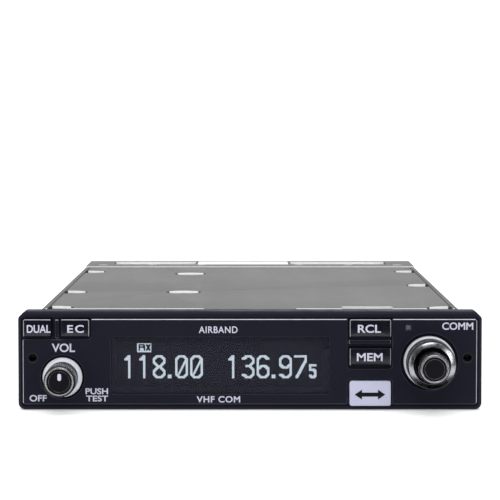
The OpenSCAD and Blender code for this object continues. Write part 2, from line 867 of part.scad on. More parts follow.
module vol_control_body() {
    half = 6;
    back_y = 7.6;
    color([0.55, 0.56, 0.58]) placed() difference() {
        union() {
            block([vol_axis[0] - half, vol_axis[0] + half], [wall_back_y + 0.1, back_y],
                  [vol_axis[1] - half, vol_axis[1] + half]);
            rod_y(vol_axis[0], vol_axis[1], vol_bushing_r, [-bushing_front, wall_back_y + 0.2]);
        }
        rod_y(vol_axis[0], vol_axis[1], vol_shaft_r + run_gap, [-bushing_front - cut, back_y + cut]);
    }
}

module vol_nut_and_washer() {
    color([0.75, 0.75, 0.74]) placed() nut_and_washer(vol_axis, vol_bushing_r, 5.7, 5.4);
}

module vol_plunger() {
    color([0.80, 0.80, 0.76]) placed() rod_y(vol_axis[0], vol_axis[1], 2.5, [5.2, 6.6]);
}

module vol_shaft() {
    color([0.70, 0.70, 0.70]) placed() rod_y(vol_axis[0], vol_axis[1], vol_shaft_r, [3 - vol_reach, 5]);
}

module vol_skirt() {
    color([0.84, 0.85, 0.88]) placed() {
        turned_y(vol_axis, [[6.1, knob_back], [6.8, knob_back], [6.8, 1.5], [5.9, 2.9],
                            [vol_r, 2.9], [vol_r, 2.2], [6.1, 2.2]]);
    }
}

module vol_knob() {
    color([0.08, 0.08, 0.09]) placed() difference() {
        turned_y(vol_axis, [[0, 2.2], [vol_r, 2.2], [vol_r, vol_reach - 0.5], [5.2, vol_reach],
                            [4.2, vol_reach], [4, vol_reach - 0.4], [0, vol_reach - 0.4]]);
        rod_y(vol_axis[0], vol_axis[1], vol_shaft_r + 0.01, [2.8 - vol_reach, -2]);
    }
}

module comm_control_body() {
    half = 7;
    rear_half = 5.5;
    neck_half = 4;
    front_stage_y = [wall_back_y + 0.1, 7.6];
    rear_stage_y = [9.4, 15.9];
    outer_bore_back_y = 7;
    inner_bore_back_y = 15;
    x = comm_axis[0];
    z = comm_axis[1];
    color([0.55, 0.56, 0.58]) placed() difference() {
        union() {
            block([x - half, x + half], front_stage_y, [z - half, z + half]);
            block([x - neck_half, x + neck_half], [front_stage_y[1] - cut, rear_stage_y[0] + cut],
                  [z - neck_half, z + neck_half]);
            block([x - rear_half, x + rear_half], rear_stage_y, [z - rear_half, z + rear_half]);
            rod_y(x, z, comm_bushing_r, [-bushing_front, front_stage_y[0] + cut]);
        }
        rod_y(x, z, comm_outer_shaft_r + run_gap, [-bushing_front - cut, outer_bore_back_y]);
        rod_y(x, z, comm_inner_shaft_r + run_gap, [outer_bore_back_y - cut, inner_bore_back_y]);
    }
}

module comm_nut_and_washer() {
    color([0.75, 0.75, 0.74]) placed() nut_and_washer(comm_axis, comm_bushing_r, 6.9, 6.6);
}

module comm_outer_shaft() {
    color([0.70, 0.70, 0.70]) placed() difference() {
        rod_y(comm_axis[0], comm_axis[1], comm_outer_shaft_r, [2.6 - comm_outer_reach, 6.8]);
        rod_y(comm_axis[0], comm_axis[1], comm_inner_shaft_r + run_gap, [1 - comm_outer_reach, 7]);
    }
}

module comm_skirt() {
    color([0.84, 0.85, 0.88]) placed() {
        turned_y(comm_axis, [[7.3, knob_back], [8.9, knob_back], [8.9, 1.6], [8.5, 3.2],
                             [8.32, 3.2], [8.32, 2.2], [7.3, 2.2]]);
    }
}

module comm_outer_knob() {
    front = comm_outer_reach;
    color([0.08, 0.08, 0.09]) placed() {
        turned_y(comm_axis, [[3.01, 2.2], [8.3, 2.2], [8.3, front - 0.8], [8, front - 0.5], [6.3, front],
                             [6.15, front - 0.1], [6.15, front - 2.6], [3.01, front - 2.6]]);
    }
}

module comm_inner_shaft() {
    color([0.72, 0.72, 0.72]) placed() {
        rod_y(comm_axis[0], comm_axis[1], comm_inner_shaft_r, [3 - comm_inner_reach, 14.8]);
    }
}

module comm_inner_knob() {
    front = comm_inner_reach;
    back = comm_outer_reach - 2;
    color([0.08, 0.08, 0.09]) placed() difference() {
        turned_y(comm_axis, [[0, back], [5.3, back], [5.3, front - 0.6], [4.95, front],
                             [3.8, front], [3.65, front - 0.4], [0, front - 0.4]]);
        rod_y(comm_axis[0], comm_axis[1], comm_inner_shaft_r + 0.01, [2.8 - front, -back + cut]);
    }
}

/* ---------- boards and what is on them ---------- */

module main_board() {
    screw_hole_r = 1.1;
    post_clearance = 0.6;
    color([0.06, 0.30, 0.17]) placed() difference() {
        block([-board_x, board_x], board_y, board_z);
        for (side = [-1, 1]) {
            for (y = post_y) {
                rod_z(side * post_x, y, post_r + post_clearance, grow(board_z, cut));
            }
        }
        for (at = board_boss_at) {
            rod_z(at[0], at[1], screw_hole_r, grow(board_z, cut));
        }
    }
}

module board_screws() {
    head_r = 2.1;
    head_h = 1.3;
    shank_r = 0.9;
    color([0.74, 0.74, 0.74]) placed() {
        for (at = board_boss_at) {
            rod_z(at[0], at[1], head_r, [board_z[1], board_z[1] + head_h]);
            rod_z(at[0], at[1], shank_r, [deck_z[1] - 1, board_z[1] + cut]);
        }
    }
}

module shield_cans() {
    color([0.78, 0.79, 0.80]) placed() {
        for (c = cans) {
            difference() {
                block(c[0], c[1], [board_z[1], board_z[1] + c[2]]);
                block(grow(c[0], -can_wall), grow(c[1], -can_wall),
                      [board_z[1] - cut, board_z[1] + c[2] - can_wall]);
            }
        }
    }
}

module crystal_filters() {
    half_l = 3.1;
    r = 2.3;
    h = 8.5;
    color([0.80, 0.80, 0.79]) placed() {
        for (at = filter_at) {
            block([at[0] - half_l, at[0] + half_l], [at[1] - r, at[1] + r], [board_z[1], board_z[1] + h]);
            for (side = [-1, 1]) {
                rod_z(at[0] + side * half_l, at[1], r, [board_z[1], board_z[1] + h]);
            }
        }
    }
}

module capacitors() {
    color([0.16, 0.18, 0.30]) placed() {
        for (at = capacitor_at) {
            rod_z(at[0], at[1], at[2], [board_z[1], board_z[1] + capacitor_h]);
        }
    }
}

module power_amplifier() {
    color([0.12, 0.12, 0.12]) placed() {
        block([-56, -4], [228, 243], [deck_z[1], deck_z[1] + 1.6]);
        block([-50, -10], [228.5, 242.5], [deck_z[1] + 1.6, 22]);
    }
}

module audio_board() {
    color([0.06, 0.30, 0.17]) placed() {
        block([-58, 58], [20, 150], audio_board_z);
        block([-40, -28], [100, 112], [audio_board_z[0] - 1.4, audio_board_z[0]]);
        block([-8, 4], [70, 82], [audio_board_z[0] - 1.4, audio_board_z[0]]);
        block([22, 40], [112, 122], [audio_board_z[0] - 2, audio_board_z[0]]);
    }
}

module audio_transformer() {
    color([0.50, 0.42, 0.28]) placed() {
        block([28, 52], [227, 245], [deck_z[1], deck_z[1] + 15]);
        block([30, 50], [225, 247], [deck_z[1] + 3, deck_z[1] + 12]);
    }
}

module flat_cables() {
    color([0.80, 0.80, 0.74]) placed() {
        block([-10, 10], [13.5, 22], [18.9, 19.2]);
        block([-15, 8], [220, 250], [23.4, 23.7]);
    }
}

module cable_connectors() {
    color([0.85, 0.84, 0.78]) placed() {
        block([-12, 12], [front_board_y[1], 13.5], [17.2, 20.4]);
        block([-12, 12], [22, 27], [board_z[1], 20.6]);
        block([-17, 10], [214, 220], [board_z[1], 25]);
    }
}

/* ---------- rear ---------- */

module shell_outline(w, h, slant) {
    half = w / 2;
    polygon([[-half, h / 2], [half, h / 2], [half - slant, -h / 2], [slant - half, -h / 2]]);
}

module rear_connector() {
    pitch = 2.77;
    row_z = 1.42;
    pin_r = 0.55;
    slant = 1.4;
    pin_y = [263, connector_tip_y + cut];
    jack_shank_hole_r = 1.55;
    body_y = [250, radio_rear_y];
    body_half_w = 20;
    body_z = [connector_z - 5, connector_z + 9.6];
    body_step_z = connector_z + 5;
    color([0.66, 0.66, 0.64]) placed() difference() {
        union() {
            block(grow([connector_x, connector_x], body_half_w), body_y, body_z);
            rounded_plate(grow([connector_x, connector_x], connector_flange[0] / 2),
                          grow([connector_z, connector_z], connector_flange[1] / 2),
                          2, [radio_rear_y, connector_flange_back_y]);
            translate([connector_x, connector_tip_y, connector_z]) rotate([90, 0, 0]) {
                linear_extrude(connector_tip_y - radio_rear_y) {
                    shell_outline(connector_shell[0], connector_shell[1], slant);
                }
            }
        }
        block(grow([connector_x, connector_x], body_half_w + 1), [chassis_rear_y - 1, radio_rear_y],
              [body_step_z, body_z[1] + 1]);
        for (i = [-6 : 6]) {
            rod_y(connector_x + i * pitch, connector_z + row_z, pin_r, pin_y);
        }
        for (i = [-6 : 5]) {
            rod_y(connector_x + (i + 0.5) * pitch, connector_z - row_z, pin_r, pin_y);
        }
        for (side = [-1, 1]) {
            rod_y(connector_x + side * jack_pitch / 2, connector_z, jack_shank_hole_r,
                  [radio_rear_y - cut, connector_flange_back_y + cut]);
        }
    }
}

module jack_screws() {
    shank_r = 1.4;
    hole_depth = 5.5;
    color([0.78, 0.78, 0.76]) placed() {
        for (side = [-1, 1]) {
            x = connector_x + side * jack_pitch / 2;
            difference() {
                union() {
                    hex_y(x, connector_z, jack_hex_r, [connector_flange_back_y, connector_tip_y]);
                    rod_y(x, connector_z, shank_r, [chassis_rear_y - 2, connector_flange_back_y + cut]);
                }
                rod_y(x, connector_z, jack_hole_r, [connector_tip_y - hole_depth, connector_tip_y + cut]);
            }
        }
    }
}

module antenna_jack() {
    mouth_r = 4.1;
    mouth_depth = 9;
    insert_r = 2.45;
    contact_r = 0.7;
    flange_r = 7.2;
    inner_end_y = 253;
    color([0.80, 0.80, 0.79]) placed() {
        difference() {
            union() {
                rod_y(antenna_x, antenna_z, bulkhead_r, [inner_end_y, antenna_base_y]);
                rod_y(antenna_x, antenna_z, flange_r, [radio_rear_y, antenna_base_y]);
                rod_y(antenna_x, antenna_z, antenna_r, [antenna_base_y - cut, antenna_tip_y]);
            }
            rod_y(antenna_x, antenna_z, mouth_r, [antenna_tip_y - mouth_depth, antenna_tip_y + cut]);
        }
        difference() {
            rod_y(antenna_x, antenna_z, insert_r, [antenna_tip_y - mouth_depth - cut, antenna_tip_y - 3]);
            rod_y(antenna_x, antenna_z, contact_r, [antenna_tip_y - 8, antenna_tip_y]);
        }
    }
}

module antenna_nut() {
    nut_hex_r = 8;
    nut_y = [255.6, chassis_rear_y];
    color([0.78, 0.78, 0.76]) placed() difference() {
        hex_y(antenna_x, antenna_z, nut_hex_r, nut_y);
        rod_y(antenna_x, antenna_z, bulkhead_r + run_gap, grow(nut_y, cut));
    }
}

tray_cover();
tray_bottom();
tray_rear_bracket();
tray_rivets();
clinch_nuts();
tray_springs();
chassis();
top_cover();
bottom_cover();
cover_screws();
heat_sink();
rear_screws();
front_bezel();
face_panel();
display_window();
display_module();
display_gasket();
sensor_window();
keypad_rubber();
tact_switches();
front_board();
bezel_screws();
lock_screw_retainers();
lock_screw_left();
lock_screw_right();
key_dual();
key_ec();
key_rcl();
key_mem();
key_swap();
vol_control_body();
vol_nut_and_washer();
vol_plunger();
vol_shaft();
vol_skirt();
vol_knob();
comm_control_body();
comm_nut_and_washer();
comm_outer_shaft();
comm_skirt();
comm_outer_knob();
comm_inner_shaft();
comm_inner_knob();
main_board();
board_screws();
shield_cans();
crystal_filters();
capacitors();
power_amplifier();
audio_board();
audio_transformer();
flat_cables();
cable_connectors();
rear_connector();
jack_screws();
antenna_jack();
antenna_nut();
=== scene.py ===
import json
import math

import bmesh
import bpy
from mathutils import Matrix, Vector
from mathutils.geometry import tessellate_polygon


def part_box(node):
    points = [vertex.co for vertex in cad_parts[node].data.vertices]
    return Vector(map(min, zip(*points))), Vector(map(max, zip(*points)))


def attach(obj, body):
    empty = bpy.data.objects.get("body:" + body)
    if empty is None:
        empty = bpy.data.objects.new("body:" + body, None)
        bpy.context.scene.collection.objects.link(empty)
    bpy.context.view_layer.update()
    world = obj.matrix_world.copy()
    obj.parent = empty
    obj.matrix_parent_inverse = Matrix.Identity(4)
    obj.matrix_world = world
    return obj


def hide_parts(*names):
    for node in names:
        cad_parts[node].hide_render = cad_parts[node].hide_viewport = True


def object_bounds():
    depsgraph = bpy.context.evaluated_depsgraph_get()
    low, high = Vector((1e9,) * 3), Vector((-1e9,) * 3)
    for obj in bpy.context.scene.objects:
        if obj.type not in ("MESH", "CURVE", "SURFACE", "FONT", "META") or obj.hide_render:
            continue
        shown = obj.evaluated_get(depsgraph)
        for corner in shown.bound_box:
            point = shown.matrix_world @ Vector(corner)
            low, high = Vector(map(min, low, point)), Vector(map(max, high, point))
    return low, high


# Looks of the panel-mount airband transceiver: detailed pieces, materials, light and camera.
# Lengths are in millimetres, X to the right seen from the front, Y into the unit from the front
# of the bezel, Z up. spot() turns them into the frame's metres.

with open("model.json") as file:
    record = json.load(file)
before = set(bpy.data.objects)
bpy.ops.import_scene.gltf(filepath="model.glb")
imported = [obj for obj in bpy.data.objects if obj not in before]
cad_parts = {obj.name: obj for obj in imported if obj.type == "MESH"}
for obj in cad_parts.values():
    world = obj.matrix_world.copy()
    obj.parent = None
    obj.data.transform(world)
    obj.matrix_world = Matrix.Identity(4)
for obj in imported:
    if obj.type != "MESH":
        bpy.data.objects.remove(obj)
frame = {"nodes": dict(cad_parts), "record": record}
cad_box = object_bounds()

MM = 0.001
FACE_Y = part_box("front_bezel")[0].y
BODY_OF = {node: body for body, nodes in frame["record"]["behaviour"]["bodies"].items() for node in nodes}
SLOT_OF = {node: obj.data.materials[0].name for node, obj in frame["nodes"].items()}


# -------- places

def spot(x, y, z):
    """Frame point, in metres, of a place counted in millimetres from the bezel's front."""
    return Vector((x * MM, FACE_Y + y * MM, z * MM))


def span(node, axis, inset_by=0.0):
    """[low, high] of a CAD node along axis 0, 1 or 2, in millimetres, taken in by inset_by."""
    low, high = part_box(node)
    shift = FACE_Y if axis == 1 else 0.0
    return [(low[axis] - shift) / MM + inset_by, (high[axis] - shift) / MM - inset_by]


def middle(node, axis):
    low, high = span(node, axis)
    return (low + high) / 2


def grown(limits, by):
    return [limits[0] - by, limits[1] + by]


# Driving places, read from the CAD, and sizes that repeat its source
KEY_FLANGE = 0.6
WINDOW_FLANGE = 1.7
BEZEL_X, BEZEL_Y, BEZEL_Z = (span("front_bezel", axis) for axis in range(3))
PANEL_X, PANEL_Y, PANEL_Z = (span("face_panel", axis) for axis in range(3))
WINDOW_X = span("display_window", 0, WINDOW_FLANGE)
WINDOW_Z = span("display_window", 2, WINDOW_FLANGE)
SENSOR_X, SENSOR_Z = span("sensor_window", 0), span("sensor_window", 2)
VOL_AXIS = (middle("vol_knob", 0), middle("vol_knob", 2))
COMM_AXIS = (middle("comm_outer_knob", 0), middle("comm_outer_knob", 2))
LOCK_X, LOCK_Z = middle("lock_screw_right", 0), middle("lock_screw_right", 2)
VOL_REACH = -span("vol_knob", 1)[0]
OUTER_REACH = -span("comm_outer_knob", 1)[0]
INNER_REACH = -span("comm_inner_knob", 1)[0]
KEY_FRONT_Y = span("key_dual", 1)[0]
VOL_RECESS_R = 7.6
COMM_RECESS_R = 10.0
LOCK_ACCESS_R = 1.55
FLOOR_Y = 0.6
KNOB_FLOOR_Y = 1.4
WALL_BACK_Y = 2.6
SHOULDER_Y = WALL_BACK_Y + 0.1


# -------- outlines

def filleted(corners, steps=6):
    """Closed outline through (x, z, radius) corners, with an arc at each rounded one."""
    outline = []
    for i, (x, z, radius) in enumerate(corners):
        here = Vector((x, z))
        if radius == 0:
            outline.append((x, z))
            continue
        back = (Vector(corners[i - 1][:2]) - here).normalized()
        ahead = (Vector(corners[(i + 1) % len(corners)][:2]) - here).normalized()
        half = back.angle(ahead) / 2
        centre = here + (back + ahead).normalized() * radius / math.sin(half)
        start = here + back * radius / math.tan(half) - centre
        end = here + ahead * radius / math.tan(half) - centre
        first = math.atan2(start.y, start.x)
        turn = (math.atan2(end.y, end.x) - first + math.pi) % (2 * math.pi) - math.pi
        for k in range(steps + 1):
            angle = first + turn * k / steps
            outline.append((centre.x + radius * math.cos(angle), centre.y + radius * math.sin(angle)))
    return outline


def rounded_rect(x, z, radius):
    corners = [(x[0], z[0], radius), (x[1], z[0], radius), (x[1], z[1], radius), (x[0], z[1], radius)]
    return filleted(corners)


def circle(centre, radius, count=72):
    angles = [2 * math.pi * k / count for k in range(count)]
    return [(centre[0] + radius * math.cos(a), centre[1] + radius * math.sin(a)) for a in angles]


def moved_in(outline, by):
    """Outline moved to its left: a counter-clockwise one shrinks, a clockwise hole grows."""
    moved = []
    for i, point in enumerate(outline):
        here = Vector(point)
        back = (here - Vector(outline[i - 1])).normalized()
        ahead = (Vector(outline[(i + 1) % len(outline)]) - here).normalized()
        normal = Vector((-back.y, back.x))
        bisector = (normal + Vector((-ahead.y, ahead.x))).normalized()
        moved.append(tuple(here + bisector * by / max(bisector.dot(normal), 0.3)))
    return moved


# -------- meshes

def ring(bm, outline, y):
    return [bm.verts.new(spot(x, y, z)) for x, z in outline]


def wall(bm, near, far, material=0):
    """Band of faces between two rings with the same number of points."""
    for i in range(len(near)):
        face = bm.faces.new((near[i - 1], near[i], far[i], far[i - 1]))
        face.material_index = material


def cap(bm, loops):
    """Flat face over the first loop, with the other loops as its holes."""
    flat = [vert for loop in loops for vert in loop]
    for triangle in tessellate_polygon([[vert.co for vert in loop] for loop in loops]):
        bm.faces.new([flat[i] for i in triangle])


def add_solid(bm, skins, edge_bands=0):
    """Closed solid. skins[0] is its outer skin and the others line its holes; each skin is a list of
    (outline, y) rings from the front cap to the back cap."""
    fronts, backs = [], []
    for skin in skins:
        rings = [ring(bm, outline, y) for outline, y in skin]
        for band in range(len(rings) - 1):
            wall(bm, rings[band], rings[band + 1], 1 if band < edge_bands else 0)
        fronts.append(rings[0])
        backs.append(rings[-1])
    cap(bm, fronts)
    cap(bm, backs)


def eased(outline, y, edge, steps=1):
    """Rings of one skin between y[0] and y[1], with its front edge eased."""
    rings = []
    for k in range(steps):
        angle = math.pi / 2 * k / steps
        rings.append((moved_in(outline, edge * (1 - math.sin(angle))), y[0] + edge * (1 - math.cos(angle))))
    return rings + [(outline, y[0] + edge), (outline, y[1])]


def add_turned(bm, axis, profile, segments=96, knurl=None):
    """Turned solid about an axis along Y. profile is a closed loop of (radius, distance in front of
    the bezel); knurl is (teeth, depth, full radius)."""
    wave = [0.0, 0.6, 1.0, 0.6]
    if knurl:
        segments = len(wave) * knurl[0]
    rings = []
    for radius, reach in profile:
        verts = []
        for k in range(segments):
            r = radius
            if knurl:
                share = (radius - knurl[2] + knurl[1]) / knurl[1]
                r -= knurl[1] * (1 - wave[k % len(wave)]) * min(max(share, 0.0), 1.0)
            angle = 2 * math.pi * k / segments
            place = spot(axis[0] + r * math.sin(angle), -reach, axis[1] + r * math.cos(angle))
            verts.append(bm.verts.new(place))
        rings.append(verts)
    for i in range(len(rings)):
        wall(bm, rings[i - 1], rings[i])


def make(name, bm, looks, node=None, body=None, slot=None, sharp=32.0):
    """Object from a bmesh, with materials named in looks. It rides on its body, and stands for its CAD
    node if one is named."""
    bmesh.ops.remove_doubles(bm, verts=bm.verts, dist=2e-8)
    bmesh.ops.recalc_face_normals(bm, faces=bm.faces)
    mesh = bpy.data.meshes.new(name)
    bm.to_mesh(mesh)
    bm.free()
    mesh.polygons.foreach_set("use_smooth", [True] * len(mesh.polygons))
    mesh.set_sharp_from_angle(angle=math.radians(sharp))
    for look in looks:
        mesh.materials.append(MATERIALS[look])
    obj = bpy.data.objects.new(name, mesh)
    bpy.context.scene.collection.objects.link(obj)
    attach(obj, body or BODY_OF[node])
    if node:
        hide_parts(node)


def solid_piece(name, rings, look, **where):
    """Piece with one skin and no holes; where is its node, or its body and slot, and the slot is not used."""
    bm = bmesh.new()
    add_solid(bm, [rings])
    make(name, bm, [look], **where)


def turned_piece(name, axis, profile, look, segments=96, knurl=None, **where):
    """Turned piece; where is its node, or its body and slot, and the slot is not used."""
    bm = bmesh.new()
    add_turned(bm, axis, profile, segments, knurl)
    make(name, bm, [look], **where)


# -------- materials

class Nodes:
    """Small helper around a material's node tree."""

    def __init__(self, name):
        self.material = bpy.data.materials.new(name)
        self.material.use_nodes = True
        self.tree = self.material.node_tree
        self.shader = next(n for n in self.tree.nodes if n.type == "BSDF_PRINCIPLED")
        place = self.tree.nodes.new("ShaderNodeTexCoord")
        self.millimetres = self.add("ShaderNodeVectorMath", operation="SCALE")
        self.millimetres.inputs["Scale"].default_value = 1 / MM
        self.link(place.outputs["Object"], self.millimetres.inputs[0])

    def add(self, kind, **settings):
        node = self.tree.nodes.new(kind)
        for key, value in settings.items():
            setattr(node, key, value)
        return node

    def link(self, output, target):
        self.tree.links.new(output, target)

    def place(self, stretch=(1, 1, 1)):
        """Object position in millimetres, stretched along each axis."""
        node = self.add("ShaderNodeVectorMath", operation="MULTIPLY")
        node.inputs[1].default_value = stretch
        self.link(self.millimetres.outputs[0], node.inputs[0])
        return node.outputs[0]

    def noise(self, size, stretch=(1, 1, 1), detail=3.0):
        """Noise from 0 to 1 whose blotches are about size millimetres across."""
        node = self.add("ShaderNodeTexNoise")
        node.inputs["Scale"].default_value = 1 / size
        node.inputs["Detail"].default_value = detail
        self.link(self.place(stretch), node.inputs["Vector"])
        return node.outputs["Fac"]

    def ramp(self, value, low, high, start=0.35, end=0.65):
        """Maps value between start and end onto low and high, which are numbers."""
        node = self.add("ShaderNodeMapRange", clamp=True)
        node.inputs["From Min"].default_value = start
        node.inputs["From Max"].default_value = end
        node.inputs["To Min"].default_value = low
        node.inputs["To Max"].default_value = high
        self.link(value, node.inputs["Value"])
        return node.outputs["Result"]

    def mix(self, share, first, second):
        """Colour mix; each colour is a tuple or another node's output."""
        node = self.add("ShaderNodeMix", data_type="RGBA")
        self.link(share, node.inputs["Factor"])
        for socket, colour in ((node.inputs[6], first), (node.inputs[7], second)):
            if isinstance(colour, tuple):
                socket.default_value = (*colour, 1)
            else:
                self.link(colour, socket)
        return node.outputs[2]

    def bump(self, height, depth, under=None):
        node = self.add("ShaderNodeBump")
        node.inputs["Strength"].default_value = 1.0
        node.inputs["Distance"].default_value = depth * MM
        self.link(height, node.inputs["Height"])
        if under:
            self.link(under, node.inputs["Normal"])
        return node.outputs["Normal"]

    def soft_edges(self, radius):
        node = self.add("ShaderNodeBevel", samples=4)
        node.inputs["Radius"].default_value = radius * MM
        return node.outputs["Normal"]

    def set(self, socket, value):
        target = self.shader.inputs[socket]
        if isinstance(value, bpy.types.NodeSocket):
            self.link(value, target)
        else:
            target.default_value = value


def shade(colour, factor):
    return tuple(min(channel * factor, 1.0) for channel in colour)


def surface(name, colour, rough, metal=0.0, specular=0.5, tint=0.12, blotch=18.0, grain=0.5, depth=0.01,
            spread=0.06, stretch=(1, 1, 1), soft=0.0, dirt=0.0, coat=0.0):
    """Painted, moulded or bare surface: two-tone blotches, fine grain relief and uneven gloss."""
    n = Nodes(name)
    tone = n.mix(n.ramp(n.noise(blotch), 0.0, 1.0), shade(colour, 1 - tint), shade(colour, 1 + tint))
    if dirt:
        spots = n.ramp(n.noise(blotch / 6, detail=6.0), 0.0, dirt, 0.56, 0.70)
        tone = n.mix(spots, tone, shade(colour, 0.55))
    n.set("Base Color", tone)
    n.set("Roughness", n.ramp(n.noise(blotch / 3, stretch), rough - spread, rough + spread))
    n.set("Metallic", metal)
    n.set("Specular IOR Level", specular)
    n.set("Coat Weight", coat)
    under = n.soft_edges(soft) if soft else None
    n.set("Normal", n.bump(n.noise(grain, stretch, 2.0), depth, under))
    return n.material


def brushed_ring(name, colour, rough):
    """Turned metal face: fine grooves round an axis along Y stretch its highlights."""
    n = Nodes(name)
    tangent = n.add("ShaderNodeTangent", direction_type="RADIAL", axis="Y")
    tone = n.mix(n.ramp(n.noise(2.0), 0.0, 1.0), shade(colour, 0.9), shade(colour, 1.1))
    n.set("Base Color", tone)
    n.set("Metallic", 1.0)
    n.set("Roughness", n.ramp(n.noise(1.2), rough - 0.04, rough + 0.04))
    n.set("Anisotropic", 0.4)
    n.link(tangent.outputs["Tangent"], n.shader.inputs["Tangent"])
    n.set("Normal", n.bump(n.noise(0.4), 0.002))
    return n.material


def lens(name, colour, alpha):
    """Tinted, slightly matt display lens."""
    n = Nodes(name)
    n.set("Base Color", n.mix(n.ramp(n.noise(12.0), 0.0, 1.0), shade(colour, 0.96), shade(colour, 1.04)))
    n.set("Roughness", n.ramp(n.noise(4.0), 0.26, 0.32))
    n.set("Specular IOR Level", 0.03)
    n.set("Alpha", alpha)
    n.set("Normal", n.bump(n.noise(9.0), 0.004))
    return n.material


def glow(name, colour, strength):
    """Evenly lit part of the display."""
    n = Nodes(name)
    n.set("Base Color", (*shade(colour, 0.5), 1))
    n.set("Roughness", 0.6)
    n.set("Emission Color", n.mix(n.ramp(n.noise(0.9), 0.0, 1.0), shade(colour, 0.86), colour))
    n.set("Emission Strength", strength)
    n.material.cycles.emission_sampling = "NONE"
    return n.material


def circuit_board(name):
    """Green solder mask over copper tracks, with tinned pads."""
    n = Nodes(name)
    tracks = n.add("ShaderNodeTexBrick", offset=0.37, squash=0.6, squash_frequency=3)
    tracks.inputs["Scale"].default_value = 0.16
    tracks.inputs["Mortar Size"].default_value = 0.03
    tracks.inputs["Color1"].default_value = (0, 0, 0, 1)
    tracks.inputs["Color2"].default_value = (0.1, 0.1, 0.1, 1)
    tracks.inputs["Mortar"].default_value = (1, 1, 1, 1)
    n.link(n.place(), tracks.inputs["Vector"])
    pads = n.add("ShaderNodeTexVoronoi")
    pads.inputs["Scale"].default_value = 0.35
    n.link(n.place(), pads.inputs["Vector"])
    mask = n.mix(tracks.outputs["Color"], (0.012, 0.085, 0.035), (0.02, 0.16, 0.06))
    solder = n.ramp(pads.outputs["Distance"], 1.0, 0.0, 0.16, 0.20)
    n.set("Base Color", n.mix(solder, mask, (0.55, 0.55, 0.50)))
    n.set("Roughness", n.ramp(n.noise(3.0), 0.28, 0.42))
    n.set("Normal", n.bump(tracks.outputs["Fac"], 0.03, n.soft_edges(0.15)))
    return n.material


def wound_tape(name, colour):
    """Yellowish tape wound round a transformer."""
    n = Nodes(name)
    layers = n.add("ShaderNodeTexWave", wave_type="BANDS", bands_direction="Z")
    layers.inputs["Scale"].default_value = 0.35
    layers.inputs["Distortion"].default_value = 1.5
    n.link(n.place(), layers.inputs["Vector"])
    n.set("Base Color", n.mix(layers.outputs["Fac"], shade(colour, 0.75), colour))
    n.set("Roughness", n.ramp(n.noise(2.0), 0.45, 0.6))
    n.set("Normal", n.bump(layers.outputs["Fac"], 0.05, n.soft_edges(0.2)))
    return n.material


def ribbon(name, colour):
    """Flat cable: parallel cores along Y."""
    n = Nodes(name)
    cores = n.add("ShaderNodeTexWave", wave_type="BANDS", bands_direction="X")
    cores.inputs["Scale"].default_value = 0.32
    n.link(n.place(), cores.inputs["Vector"])
    n.set("Base Color", n.mix(cores.outputs["Fac"], shade(colour, 0.7), colour))
    n.set("Roughness", n.ramp(n.noise(3.0), 0.4, 0.55))
    n.set("Normal", n.bump(cores.outputs["Fac"], 0.15))
    return n.material


def by_name(*materials):
    """Materials under their own names, without the number that Blender adds where the CAD has one."""
    return {material.name.split(".")[0]: material for material in materials}


